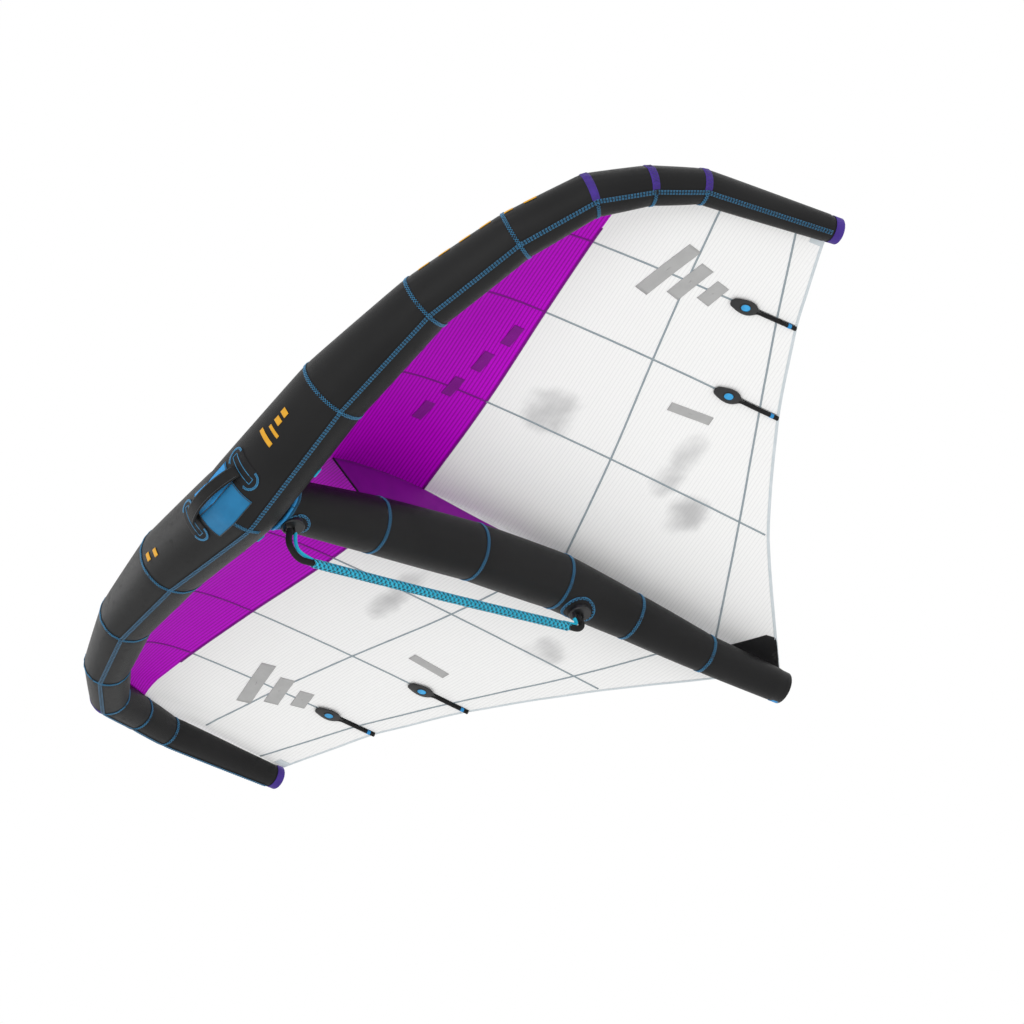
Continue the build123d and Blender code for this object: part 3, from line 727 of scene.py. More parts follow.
def make_canopy(tube):
    """One continuous sheet from tip to tip, stretched from the leading edge to the tail."""
    fronts, tails = rib_ends(tube)
    per_bay = [14, 12, 10, 8, 6, 6, 10]
    ribs = [bay + step / count for bay, count in enumerate(per_bay) for step in range(count)] + [7.0]
    shares = [step / 90 for step in range(91)]
    half = [[canopy_point(fronts, tails, rib, share) for share in shares] for rib in ribs]
    mirrored = [[Vector((-p.x, p.y, p.z)) for p in row] for row in half[:0:-1]]
    rows = mirrored + half
    low = []
    for row in rows:
        for share, point in zip(shares, row):
            mirror = settled(Vector((abs(point.x), point.y, point.z)), share)
            low.append(Vector((point.x, mirror.y, mirror.z)))
    high = [place + Vector((0, 0, CLOTH)) for place in low]
    uvs = [(place.x, place.y) for place in low]
    columns = len(shares)
    sheet = plate("canopy_sheet", low, high, len(rows), columns, "canopy", uvs)
    covered = [name for name in nodes if name.startswith("canopy_")]
    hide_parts(*covered)
    return sheet, fronts, tails


class Cloth:
    """Finds the cloth's underside and top over any place in plan."""

    def __init__(self, sheet):
        self.tree = BVHTree.FromPolygons(
            [v.co for v in sheet.data.vertices], [p.vertices for p in sheet.data.polygons]
        )

    def under(self, x, y, below):
        hit = self.tree.ray_cast(Vector((x, y, -3)), Vector((0, 0, 1)))[0]
        return Vector((x, y, hit.z - below)) if hit else None

    def over(self, x, y, above):
        hit = self.tree.ray_cast(Vector((x, y, 3)), Vector((0, 0, -1)))[0]
        return Vector((x, y, hit.z + above)) if hit else None


def cloth_strip(name, cloth, start, end, width, material_name):
    """A straight seam tape between two places in plan, on the cloth's underside and on its top."""
    start, end = Vector((*start, 0)), Vector((*end, 0))
    run = end - start
    across = Vector((-run.y, run.x, 0)).normalized() * width / 2
    count = max(2, int(run.length / 0.02))
    for label, reach, sign in ((name, cloth.under, -1), (name + "_top", cloth.over, 1)):
        lower, uvs = [], []
        for index in range(count + 1):
            spot = start + run * (index / count)
            row = [reach(spot.x + across.x * k, spot.y + across.y * k, 0.0002) for k in (-1, 1)]
            if None in row:
                continue
            lower += row
            uvs += [(k * width / 2, run.length * index / count) for k in (-1, 1)]
        upper = [place + Vector((0, 0, sign * 0.0006)) for place in lower]
        plate(label, lower, upper, len(lower) // 2, 2, material_name, uvs)


# ---------------------------------------------------------------- pieces: rope handle
def route_line(points):
    """Places along the smooth line of a route."""
    curve = bpy.data.curves.new("route", "CURVE")
    curve.dimensions = "3D"
    curve.resolution_u = 40
    spline = curve.splines.new("NURBS")
    spline.points.add(len(points) - 1)
    for target, place in zip(spline.points, points):
        target.co = (*place, 1)
    spline.order_u = 3
    spline.use_endpoint_u = True
    holder = bpy.data.objects.new("route", curve)
    SCENE.collection.objects.link(holder)
    mesh = bpy.data.meshes.new_from_object(holder)
    line = [vertex.co.copy() for vertex in mesh.vertices]
    bpy.data.objects.remove(holder)
    bpy.data.curves.remove(curve)
    bpy.data.meshes.remove(mesh)
    return line


def spread(line, step):
    """The same line with places evenly apart."""
    travelled = [0.0]
    for a, b in zip(line, line[1:]):
        travelled.append(travelled[-1] + (b - a).length)
    count = max(2, round(travelled[-1] / step))
    places, index = [], 0
    for number in range(count + 1):
        target = travelled[-1] * number / count
        while index < len(line) - 2 and travelled[index + 1] < target:
            index += 1
        share = (target - travelled[index]) / max(1e-9, travelled[index + 1] - travelled[index])
        places.append(line[index].lerp(line[index + 1], share))
    return places, travelled[-1]


def strand_rings(line, radius, strands, pitch, way, strand):
    """One flat strand that winds round a line and passes over and under those of the other way."""
    level = Vector((1, 0, 0))
    half_wide = math.pi * radius / strands * (0.525 if strand % 2 else 1.25)
    half_thick = radius * 0.10
    slope = way * 2 * math.pi * radius / pitch
    rings = []
    for index, place in enumerate(line):
        ahead = heading(line, index)
        up = level.cross(ahead).normalized()
        wound = 2 * math.pi * (place - line[0]).length / pitch
        turn = way * wound + 2 * math.pi * strand / strands
        over = math.sin(strands * wound + math.pi * (strand + (way > 0)))
        out = level * math.cos(turn) + up * math.sin(turn)
        across = (ahead.cross(out) - ahead * slope).normalized()
        middle = place + out * (radius * 0.93 + over * half_thick * 0.5)
        rings.append(ring_points(middle, across * half_wide, out * half_thick, 6))
    return rings


def braid(name, line, radius, strands, pitch, body):
    """Strands wound both ways round a core, every second one narrow and dark."""
    level = Vector((1, 0, 0))
    vertices, faces, dark = [], [], []
    for way in (1, -1):
        for strand in range(strands):
            rings = strand_rings(line, radius, strands, pitch, way, strand)
            made = closed_sweep(rings, len(vertices))
            vertices += [point for ring in rings for point in ring]
            faces += made
            dark += [strand % 2] * len(made)
    size = radius * 0.86
    rings = []
    for index, place in enumerate(line):
        up = level.cross(heading(line, index)).normalized()
        rings.append(ring_points(place, level * size, up * size, 14))
    made = closed_sweep(rings, len(vertices))
    vertices += [point for ring in rings for point in ring]
    faces += made
    dark += [0] * (len(made) - 2) + [1, 1]
    made = piece(name, vertices, faces, "rope", None, body)
    made.data.materials.append(material("rope_dark"))
    made.data.polygons.foreach_set("material_index", dark)
    return made


def make_rope():
    points = [NOSE + Vector(place) for place in ROPE]
    line, length = spread(route_line(points), 0.004)
    rope = braid("handle_rope_braid", line, ROPE_RADIUS * 1.14, 8, 0.062, "strut_handle")
    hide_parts("handle_rope")


def round_tube(line, radius):
    """Vertices and faces of a closed round tube along a line."""
    rings = []
    for index, place in enumerate(line):
        ahead = heading(line, index)
        level = Vector((1, 0, 0))
        level = (level - ahead * level.dot(ahead)).normalized()
        rings.append(ring_points(place, level * radius, ahead.cross(level) * radius, 12))
    return [point for ring in rings for point in ring], closed_sweep(rings)


# ---------------------------------------------------------------- pieces: tubes and their seams
def place_at(tube, y):
    """The place on the strut's tube whose centre has this y."""
    for index, (a, b) in enumerate(zip(tube.centres, tube.centres[1:])):
        if y <= b.y or index == len(tube.centres) - 2:
            share = (y - a.y) / (b.y - a.y)
            return tube.places[index] + share * (tube.places[index + 1] - tube.places[index])


def seam_angle(tube, place):
    """The lengthwise seam lies below the nose and turns forwards over the first 1.35 m to each tip."""
    return 274 - 31 * min(1.0, abs(place - tube.places[BARRELS]) / 1.35)


def lengthwise_tape(name, tube, start, end):
    """The narrow black tape along the leading edge, with a raised middle."""
    width = 0.016
    count = int((end - start) / 0.02)
    columns = 5
    lower, upper, uvs = [], [], []
    for row in range(count + 1):
        place = start + (end - start) * row / count
        radius = tube.radius(place)
        for column in range(columns):
            across = (2 * column / (columns - 1) - 1) * width / 2
            turn = seam_angle(tube, place) + math.degrees(across / radius)
            lower.append(tube.point(place, turn, 0.0002))
            upper.append(tube.point(place, turn, 0.0024 if abs(across) < width * 0.45 else 0.0014))
            uvs.append((across, place))
    return plate(name, lower, upper, count + 1, columns, "black", uvs)


def stitch_dashes(tube, start, end, shift, proud):
    """Short threads in a row beside the lengthwise seam."""
    dash, gap = 0.006, 0.003
    runs = []
    place = start
    while place + dash < end:
        runs.append([
            tube.point(spot, seam_angle(tube, spot) + math.degrees(shift / tube.radius(spot)), proud + lift)
            for spot, lift in ((place, -0.0006), (place + dash / 2, 0.0002), (place + dash, -0.0006))
        ])
        place += dash + gap
    return runs


def make_leading_edge(tube):
    casings = [f"le_casing_{side}_{number}" for side in ("left", "right") for number in range(1, BARRELS + 1)]
    skin = tube_skin("leading_edge_skin", tube, casings)
    tapes = [BARRELS + offset for offset in (-3, -2, -1, 1, 2, 3)]
    bands = [BARRELS + offset for offset in (-6, -5, -4, 4, 5, 6)]
    runs = []
    for index in tapes:
        band = ring_band(f"ring_tape_{index}", tube, index, 0.0018)
        if index == tapes[0]:
            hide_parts("le_ring_tapes")
        runs += diamond_stitches(tube, index, STITCH_HALF_WIDTH, 0.0022)
    runs += diamond_stitches(tube, BARRELS, STITCH_HALF_WIDTH, 0.0012, arc=(250, 292))
    edges = []
    for index in bands:
        seam = seam_angle(tube, tube.places[index])
        front, rear = (BAND_START, seam), (seam, BAND_START + 360)
        band = arc_band(f"ring_band_{index}", tube, index, 0.022, front, 0.0018, "purple")
        if index == bands[0]:
            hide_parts("le_ring_bands")
        arc_band(f"ring_band_tape_{index}", tube, index, RING_TAPE_WIDTH, rear, 0.0018, "black")
        edges += diamond_stitches(tube, index, 0.0085, 0.0020, 0.018, front)
        runs += diamond_stitches(tube, index, STITCH_HALF_WIDTH, 0.0022, arc=rear)
    threads("leading_edge_ring_stitches", runs, 0.0011)
    threads("purple_band_stitches", edges, 0.0005, material_name="thread_dark")
    lines = []
    for side, start, end in (
        ("left", tube.places[0] + TIP_CAP_LENGTH, tube.places[BARRELS]),
        ("right", tube.places[BARRELS], tube.places[-1] - TIP_CAP_LENGTH),
    ):
        tape = lengthwise_tape(f"seam_tape_{side}", tube, start, end)
        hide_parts(f"le_seam_tape_{side}")
        for shift in (-0.0050, -0.0020, 0.0020, 0.0050):
            lines += stitch_dashes(tube, start, end, shift, 0.0027)
    threads("leading_edge_seam_stitches", lines, 0.0008)
    return skin


def make_strut(tube):
    casings = [f"strut_casing_{number}" for number in range(1, STRUT_BARRELS + 1)]
    tube_skin("strut_skin", tube, casings, around=96, begin=STRUT_SKIN_START)
    runs = []
    for index in range(1, len(tube.places) - 1):
        band = ring_band(f"strut_tape_{index}", tube, index, 0.0016, 96)
        if index == 1:
            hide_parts("strut_ring_tapes")
        runs += diamond_stitches(tube, index, STITCH_HALF_WIDTH, 0.0019)
    threads("strut_ring_stitches", runs, 0.0011)


# ---------------------------------------------------------------- pieces: cloth
def plan(wing_x, wing_y):
    return (wing_x, wing_y + NOSE.y)


def on_seam(seam, side, x):
    return plan(side * x, seam[0] + seam[1] * x)


def make_seams(cloth, fronts, tails):
    cross_seams = (
        ("colour_seam", COLOUR_SEAM, 1.09, 0.007, "seam_dark"),
        ("rear_seam", REAR_SEAM, 1.345, 0.006, "seam"),
        ("tail_seam", TAIL_SEAM, 1.37, 0.006, "seam"),
    )
    for side, label in SIDES:
        for name, seam, reach, width, colour in cross_seams:
            ends = [on_seam(seam, side, x) for x in (0.0, reach)]
            cloth_strip(f"{name}_{label}", cloth, *ends, width, colour)
        for rib in (1, 2, 3):
            front, tail = fronts[rib], tails[rib]
            ahead = [end.y - NOSE.y - (COLOUR_SEAM[0] + COLOUR_SEAM[1] * end.x) for end in (front, tail)]
            middle = front.lerp(tail, min(1.0, max(0.0, ahead[0] / (ahead[0] - ahead[1]))))
            first = front.lerp(tail, 0.004)
            last = front.lerp(tail, 0.990)
            for a, b, colour, part in ((first, middle, "seam_dark", "front"), (middle, last, "seam", "rear")):
                if (b - a).length > 0.03:
                    ends = [(side * end.x, end.y) for end in (a, b)]
                    cloth_strip(f"rib_seam_{rib}_{label}_{part}", cloth, *ends, 0.006, colour)


def make_hem(fronts, tails):
    """A folded tape round the cloth's rear edge."""
    width = 0.009
    for side, label in SIDES:
        path = []
        for step in range(141):
            rib = (len(tails) - 1) * (step / 140) * 0.995
            chord = linear(tails, rib).y - linear(fronts, rib).y
            share = 1 - width * 0.42 / chord
            point = settled(canopy_point(fronts, tails, rib, share), share)
            path.append(Vector((side * point.x, point.y, point.z + CLOTH / 2)))
        made = strip_form(f"hem_{label}", path, UP, rounded_section(width / 2, 0.0017, 14), "hem")
        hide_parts(f"trailing_hem_{label}")


def make_patches(cloth):
    """Reinforcements: a black triangle at the tail and a pale corner at each tip."""
    tail = [(-0.122, 1.958), (-0.100, 1.864), (0.0, 1.800), (0.100, 1.864), (0.122, 1.958), (0.0, 1.988)]
    made = cloth_patch("tail_patch_cloth", cloth, [plan(*corner) for corner in tail], "black")
    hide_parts("tail_patch")
    for side, label in SIDES:
        corner = [(1.346, 1.064), (1.370, 1.056), (1.376, 1.097), (1.350, 1.106)]
        outline = [plan(side * x, y) for x, y in corner]
        made = cloth_patch(f"tip_patch_{label}", cloth, outline, "hem")
        if side > 0:
            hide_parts("tip_patch")


def cloth_patch(name, cloth, outline, material_name):
    """A reinforcement patch of any plan outline, on the cloth's underside and on its top."""
    made, cells = [], 22
    middle = Vector((sum(x for x, _ in outline) / len(outline), sum(y for _, y in outline) / len(outline)))
    ring = []
    for (ax, ay), (bx, by) in zip(outline, outline[1:] + outline[:1]):
        ring += [Vector((ax + (bx - ax) * k / cells, ay + (by - ay) * k / cells)) for k in range(cells)]
    for label, reach, sign in ((name, cloth.under, -1), (name + "_top", cloth.over, 1)):
        rows, lower, upper, uvs = 8, [], [], []
        for row in range(rows + 1):
            for spot in ring + ring[:1]:
                place = middle.lerp(spot, 0.02 + 0.98 * row / rows)
                hit = reach(place.x, place.y, 0.0003)
                if hit is None:
                    hit = lower[-1].copy() if lower else Vector((place.x, place.y, 0))
                lower.append(hit)
                upper.append(hit + Vector((0, 0, sign * 0.0011)))
                uvs.append((place.x, place.y))
        made.append(plate(label, lower, upper, rows + 1, len(ring) + 1, material_name, uvs))
    return made


def strip_form(name, path, up_ways, sections, material_name, body="wing"):
    """A closed form along a path, from one section of (across, up) pairs or a list of them.

    up_ways is one direction, or one for each place on the path.
    """
    vertices, uvs = [], []
    if isinstance(up_ways, Vector):
        up_ways = [up_ways] * len(path)
    if isinstance(sections[0], tuple):
        sections = [sections] * len(path)
    sides = len(sections[0])
    travelled = 0.0
    for index, place in enumerate(path):
        ahead = heading(path, index)
        across = ahead.cross(up_ways[index]).normalized()
        up = across.cross(ahead)
        if index:
            travelled += (place - path[index - 1]).length
        for a, b in sections[index]:
            vertices.append(place + across * a + up * b)
            uvs.append((a + b, travelled))
    faces = grid_faces(len(path), sides, True)
    faces.append(tuple(reversed(range(sides))))
    faces.append(tuple((len(path) - 1) * sides + side for side in range(sides)))
    return outward(piece(name, vertices, faces, material_name, uvs, body))


def rounded_section(half_wide, half_thick, count=20, power=0.45):
    """A rectangle with full round edges, as (across, up) pairs."""
    section = []
    for turn in turns(count):
        c, s = math.cos(turn), math.sin(turn)
        section.append((
            half_wide * math.copysign(abs(c) ** power, c), half_thick * math.copysign(abs(s) ** power, s)
        ))
    return section


def make_battens(cloth, fronts, tails):
    """Pockets under the cloth, their stitching, a blue band on each and the caps."""
    stitches, caps = [], []
    for side, label in SIDES:
        for rib in BATTEN_RIBS:
            front, tail = fronts[rib], tails[rib]
            chord = tail.y - front.y
            places = []
            for step in range(25):
                share = 1 - BATTEN_LENGTH / chord * (1 - 0.38 - 0.60 * step / 24)
                spot = front.lerp(tail, share)
                places.append(cloth.under(side * spot.x, spot.y, 0.0))
            section = []
            for step in range(13):
                turn = math.pi * step / 12
                section.append((0.0064 * math.cos(turn), -0.0108 * math.sin(turn) ** 0.6))
            pocket = strip_form(f"batten_pocket_{label}_{rib}", places, UP, section, "webbing")
            if not caps:
                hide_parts("batten_pockets")
            for shift in (-0.0078, 0.0078):
                stitches.append([cloth.under(place.x + shift, place.y, 0.0004) or place for place in places])
            caps.append((f"{label}_{rib}", cap_corners(side, rib)))
            blue = [(a * 1.06, b * 1.06) for a, b in section]
            strip_form(f"pocket_band_{label}_{rib}", places[19:22], UP, blue, "blue")
    threads("pocket_edges", stitches, 0.0007, material_name="thread_dark")
    made = [make_cap(label, cap) for label, cap in caps]
    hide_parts("batten_caps")


def cap_corners(side, rib):
    """The corners of one batten cap in the CAD model."""
    points = corners("batten_caps")
    points = points[points[:, 0] * side > 0]
    away = np.abs(points[:, 0])
    outer = away > (away.max() + away.min()) / 2
    return points[outer if rib == BATTEN_RIBS[1] else ~outer]


def make_cap(label, cap):
    """A moulded batten cap, egg shaped from below, with a blue oval insert in its widest part."""
    centre = cap.mean(axis=0)
    _, _, axes = np.linalg.svd(cap - centre)
    along, across, lift = (Vector(axis) for axis in axes)
    if along.y > 0:
        along = -along
    if lift.z > 0:
        lift = -lift
    across = lift.cross(along).normalized()
    reach = (cap - centre) @ np.array(along)
    depth = float(((cap - centre) @ np.array(lift)).max())
    tip = Vector(centre) + along * float(reach.max())
    length = float(reach.max() - reach.min())
    path, sections = [], []
    for distance, half_wide, thick in CAP_STATIONS:
        path.append(tip - along * min(distance, length))
        sections.append(rounded_section(half_wide, depth * thick, 28, 0.7))
    made = strip_form(f"batten_cap_{label}", path, lift, sections, "plastic")
    head = tip - along * CAP_WINDOW + lift * depth
    count, rings = 40, 6
    oval = [(math.cos(turn), math.sin(turn)) for turn in turns(count) + [2 * math.pi]]
    lower, upper, uvs = [], [], []
    for row in range(rings + 1):
        size = max(0.02, row / rings)
        for c, s in oval:
            a, b = 0.0150 * size * c, 0.0115 * size * s
            point = head + along * a + across * b
            lower.append(point - lift * 0.0030)
            upper.append(point + lift * (0.0014 - 0.0008 * size * size))
            uvs.append((a, b))
    plate(f"cap_window_{label}", lower, upper, rings + 1, count + 1, "blue_plastic", uvs)
    rim = [head + along * 0.0164 * c + across * 0.0129 * s + lift * 0.0002 for c, s in oval]
    threads(f"cap_rim_{label}", [rim], 0.0016, material_name="plastic")
    return made


def make_profile_panel(cloth, strut):
    """The upright panel on the centre line, with a black binding on its front edge."""
    top_front, foot_front, rear = 0.343, 0.452, 1.965
    colour_top, colour_foot = COLOUR_SEAM[0], 1.160
    panels = (
        ("front", (top_front, colour_top), (foot_front, colour_foot), "plum", "colour_cloth"),
        ("rear", (colour_top, rear), (colour_foot, rear), "pale", "canopy_cloth"),
    )
    for label, (top_start, top_end), (foot_start, foot_end), colour_name, slot in panels:
        rows, columns = 60, 12
        lower, upper, uvs = [], [], []
        for row in range(rows + 1):
            share = row / rows
            top_y = top_start + (top_end - top_start) * share + NOSE.y
            foot_y = foot_start + (foot_end - foot_start) * share + NOSE.y
            foot = strut.point(place_at(strut, foot_y), 90, 0.0004)
            top = cloth.under(0.0, min(top_y, 1.30), 0.0006)
            for column in range(columns + 1):
                up = column / columns
                spot = foot.lerp(top, up)
                bow = 0.0022 * math.sin(math.pi * up) * noise.noise(Vector((spot.y * 7, spot.z * 9, 2.0)))
                lower.append(spot + Vector((bow - 0.0006, 0, 0)))
                upper.append(spot + Vector((bow + 0.0006, 0, 0)))
                uvs.append((spot.y, spot.z))
        made = plate(f"profile_{label}", lower, upper, rows + 1, columns + 1, colour_name, uvs)
        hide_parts(f"profile_panel_{label}")
    foot = strut.point(place_at(strut, foot_front + NOSE.y), 90, 0.002)
    top = cloth.under(0.0, top_front + NOSE.y, 0.001)
    edge = [foot.lerp(top, step / 12) for step in range(13)]
    aft = Vector((0, 1, 0.3)).normalized()
    strip_form("profile_binding", edge, aft, rounded_section(0.0016, 0.0035), "black")
    line = []
    for step in range(121):
        y = foot_front + (rear - foot_front) * step / 120 + NOSE.y
        line.append(strut.point(place_at(strut, y), 90, 0.001))
    strip_form("profile_foot_tape", line, UP, rounded_section(0.011, 0.0010, 12), "black")


def level(line, y):
    """The height of a line of points at one place along it."""
    return float(np.interp(y, [spot.y for spot in line], [spot.z for spot in line]))


# ---------------------------------------------------------------- pieces: handles
BOSS_PLACES = ((0.166, 0.043, "front"), (1.204, 0.053, "rear"))


def make_handle_patches(strut):
    runs = []
    for y, radius, label in BOSS_PLACES:
        place = place_at(strut, y + NOSE.y)
        patch = tube_patch(f"handle_patch_{label}", strut, place, 270, radius, radius, 0.0003, 0.0022,
                           "black", "oval", (31, 31))
        if label == "front":
            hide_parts("handle_patches")
        runs.append(oval_outline(strut, place, 270, radius - 0.005, radius - 0.005, 0.0027, 144, 0.0032, 24))
        runs.append(oval_outline(strut, place, 270, radius - 0.0015, radius - 0.0015, 0.0012, 96))
    threads("handle_patch_stitches", runs, 0.0011)


def make_tail_cords():
    """A thin cord that runs down the inner side of each sleeve to the rope."""
    routes = {
        "front": [(0.0, 0.172, -0.060), (0.0, 0.164, -0.100), (0.0, 0.184, -0.136), (0.0, 0.236, -0.1400)],
        "rear": [(0.0, 1.178, 0.004), (0.0, 1.187, -0.014), (0.0, 1.170, -0.0225), (0.0, 1.132, -0.0265)],
    }
    for label, points in routes.items():
        line, _ = spread(route_line([NOSE + Vector(point) for point in points]), 0.004)
        vertices, faces = round_tube(line, 0.0055)
        piece(f"tail_cord_{label}", vertices, faces, "cyan", None, "strut_handle")


CARRY_HALF_SPAN = 0.119
CARRY_ANGLE = 206


def make_carry_patches(tube):
    """The two oval patches that hold the carry strap, with a stitched box on each."""
    runs = []
    for sign, label in ((-1, "left"), (1, "right")):
        place = tube.places[BARRELS] + sign * CARRY_HALF_SPAN * 1.03
        patch = tube_patch(f"carry_patch_{label}", tube, place, CARRY_ANGLE, 0.030, 0.070, 0.0003, 0.0026,
                           "black", "oval", (25, 41))
        if label == "left":
            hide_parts("carry_patches")
        runs.append(oval_outline(tube, place, CARRY_ANGLE, 0.0262, 0.0662, 0.0032, 160, 0.0017, 40))
        runs.append(oval_outline(tube, place, CARRY_ANGLE, 0.0225, 0.0625, 0.0031, 120))
        half_angle = math.degrees(0.047 / tube.radius(place))
        box = [
            (place + across * 0.0085, CARRY_ANGLE + along * half_angle)
            for across, along in ((-1, -1), (1, -1), (1, 1), (-1, 1), (-1, -1))
        ]
        for (p, a), (q, b) in zip(box, box[1:]):
            runs.append([tube.point(p + (q - p) * k / 12, a + (b - a) * k / 12, 0.0031) for k in range(13)])
    threads("carry_patch_stitches", runs, 0.0010)


def make_wear_panel(tube):
    """The blue panel behind the carry strap: a bright upper part and a darker lower part."""
    middle = tube.places[BARRELS]
    for label, angle, half, name in (("upper", 190.5, 0.037, "blue"), ("lower", 229, 0.041, "wear_lower")):
        panel = tube_patch(f"wear_panel_{label}", tube, middle, angle, 0.080, half, 0.0003, 0.0024,
                           name, "box", (31, 19))
        if label == "upper":
            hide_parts("wear_panel")
    upper, seam, lower, half_place = 172.5, 209, 249, 0.0785
    border = []
    for place in (middle - half_place, middle + half_place):
        border.append([tube.point(place, upper + (lower - upper) * k / 40, 0.0029) for k in range(41)])
    for angle in (upper, seam, lower):
        border.append([tube.point(middle + half_place * (k / 20 - 1), angle, 0.0030) for k in range(41)])
    threads("wear_panel_stitches", border, 0.0011, material_name="thread_dark")


def make_carry_strap(tube):
    """The padded strap, an arc that stands off the nose, with a row of stitches along each edge."""
    lean = math.radians(64)
    out = Vector((0, -math.sin(lean), -math.cos(lean)))
    share = CARRY_HALF_SPAN / tube.centres[BARRELS + 1].x
    axis = tube.centres[BARRELS].lerp(tube.centres[BARRELS + 1], share)
    axis.x = 0
    rise = 0.039
    base = tube.radius(tube.places[BARRELS] + CARRY_HALF_SPAN) + 0.011
    arc_radius = (CARRY_HALF_SPAN ** 2 + rise ** 2) / (2 * rise)
    half_turn = math.asin(CARRY_HALF_SPAN / arc_radius)
    path, up_ways, sections = [], [], []
    steps = 48
    for step in range(steps + 1):
        turn = half_turn * (2 * step / steps - 1)
        height = base + rise - arc_radius * (1 - math.cos(turn))
        path.append(axis + Vector((arc_radius * math.sin(turn), 0, 0)) + out * height)
        up_ways.append((out * math.cos(turn) + Vector((math.sin(turn), 0, 0))).normalized())
        ends = min(1.0, (1 - abs(2 * step / steps - 1)) * 8)
        full = 1 + 0.02 * math.sin(step * 1.3)
        sections.append(rounded_section(0.0195, (0.0030 + 0.0012 * ends) * full, 24, 0.5))
    strap = strip_form("carry_strap_pad", path, up_ways, sections, "webbing", "carry_handle")
    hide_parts("carry_strap")
    edges = []
    for shift in (-0.0155, 0.0155):
        line = []
        for index in range(2, steps - 1):
            across = heading(path, index).cross(up_ways[index]).normalized()
            line.append(path[index] + across * shift + up_ways[index] * 0.0040)
        edges.append(line)
    threads("carry_strap_stitches", edges, 0.0008, "carry_handle", "thread_dark")


# ---------------------------------------------------------------- plain marks and the collar
def cloth_bar(name, cloth, start, end, width, material_name):
    """A plain bar printed on the cloth, between two places in plan."""
    a, b = Vector(start), Vector(end)
    along = b - a
    across = Vector((-along.y, along.x)).normalized() * width / 2
    outline = [plan(*corner) for corner in (a - across, b - across, b + across, a + across)]
    cloth_patch(name, cloth, outline, material_name)


def make_prints(cloth, tube):
    """Plain bars where the real object has lettering."""
    bars = (
        ("long", (0.955, 0.760), (1.160, 0.800), 0.048), ("middle", (0.985, 0.850), (1.120, 0.876), 0.048),
        ("short", (1.010, 0.940), (1.090, 0.955), 0.048), ("rear", (0.655, 1.085), (0.672, 1.225), 0.030),
    )
    for side, label in SIDES:
        for name, start, end, width in bars:
            ends = [(side * x, y) for x, y in (start, end)]
            cloth_bar(f"bar_{name}_{label}", cloth, *ends, width, "print_grey")
    for number in range(4):
        x, y = 0.24 + 0.12 * number, 0.475 + 0.02 * number
        cloth_bar(f"bar_front_{number}", cloth, (x, y), (x + 0.075, y), 0.034, "seam_dark")
    middle = tube.places[BARRELS]
    marks = (
        (0.232, 202, 0.007, 0.030), (0.262, 206, 0.005, 0.022), (0.290, 200, 0.009, 0.012),
        (0.318, 199, 0.009, 0.012), (-0.345, 202, 0.009, 0.012), (-0.385, 199, 0.009, 0.012),
    )
    for number, (offset, angle, half_place, half_arc) in enumerate(marks):
        gold_patch(f"gold_mark_{number}", tube, middle + offset, angle, half_place, half_arc, (7, 9))
    for number in range(6):
        gold_patch(f"gold_bar_{number}", tube, middle + 0.86 + 0.066 * number, 149, 0.018, 0.007, (7, 5))


def gold_patch(name, tube, place, angle, half_place, half_arc, steps):
    """A plain gold mark on a tube."""
    tube_patch(name, tube, place, angle, half_place, half_arc, 0.0012, 0.0008,
               "gold", "box", steps)


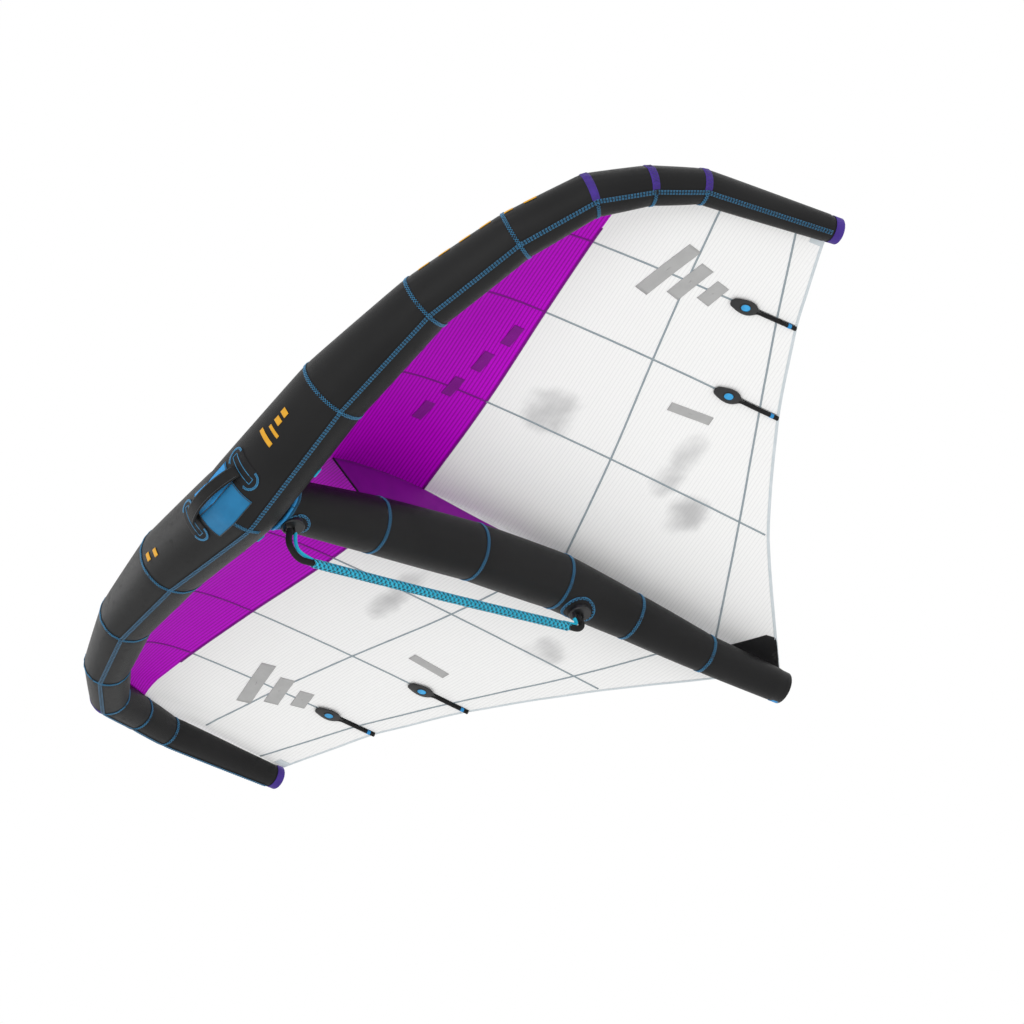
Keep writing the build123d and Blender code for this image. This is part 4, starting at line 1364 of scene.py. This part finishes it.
def make_collar(skin, strut):
    """Blue piping where the strut's tube enters the leading edge, and the stitched band behind it."""
    tree = BVHTree.FromPolygons([v.co for v in skin.data.vertices], [p.vertices for p in skin.data.polygons])
    start = place_at(strut, -0.30)
    piping, inner, outer = [], [], []
    for step in range(97):
        angle = 172 + 196 * step / 96
        spot = strut.point(start, angle, 0.0)
        ahead = (strut.point(start - 0.05, angle, 0.0) - spot).normalized()
        hit, _, _, distance = tree.ray_cast(spot, ahead)
        if hit is None:
            continue
        piping.append(strut.point(start - distance + 0.013, angle, 0.0030))
        shift = 0.0045 if step % 2 else -0.0045
        inner.append(strut.point(start - distance + 0.0250 + shift, angle, 0.0020))
        outer.append(strut.point(start - distance + 0.0250 - shift, angle, 0.0020))
    threads("collar_piping", [piping], 0.0058, material_name="blue")
    threads("collar_stitches", [inner, outer], 0.0011)


def make_tabs(tube):
    """Small cyan tabs on the leading edge behind its seam, one on each side of the strut."""
    for label, away in (("right", 0.215), ("left", -0.070)):
        place = tube.places[BARRELS] + away
        tube_patch(f"front_tab_{label}", tube, place, 322, 0.012, 0.010, 0.0, 0.004, "cyan")


# ---------------------------------------------------------------- CAD nodes that stay
def dress(node, material_name):
    target = nodes[node]
    for slot in target.material_slots:
        slot.material = material(material_name)


def dress_cad():
    finishes = {
        "plastic": ("handle_bosses", "strut_end_cap", "valve_body", "valve_cap"),
        "webbing": ("handle_sleeve_front", "handle_sleeve_rear"),
        "purple": ("tip_cap_left", "tip_cap_right"),
        "blue": ("strut_end_ring",),
        "black": ("strut_collar",),
        "film": ("le_bladder", "strut_bladder"),
        "rod": ("battens",),
    }
    for material_name, names in finishes.items():
        for name in names:
            dress(name, material_name)


# ---------------------------------------------------------------- the whole object
make_camera()
make_light()
make_floor()
make_materials()
make_rope()
edge_tube = leading_edge_tube()
strut_body = strut_tube()
edge_skin = make_leading_edge(edge_tube)
make_strut(strut_body)
canopy, rib_fronts, rib_tails = make_canopy(edge_tube)
cloth_finder = Cloth(canopy)
make_seams(cloth_finder, rib_fronts, rib_tails)
make_hem(rib_fronts, rib_tails)
make_patches(cloth_finder)
make_battens(cloth_finder, rib_fronts, rib_tails)
make_profile_panel(cloth_finder, strut_body)
make_handle_patches(strut_body)
make_tail_cords()
make_carry_patches(edge_tube)
make_wear_panel(edge_tube)
make_carry_strap(edge_tube)
make_prints(cloth_finder, edge_tube)
make_collar(edge_skin, strut_body)
make_tabs(edge_tube)
dress_cad()
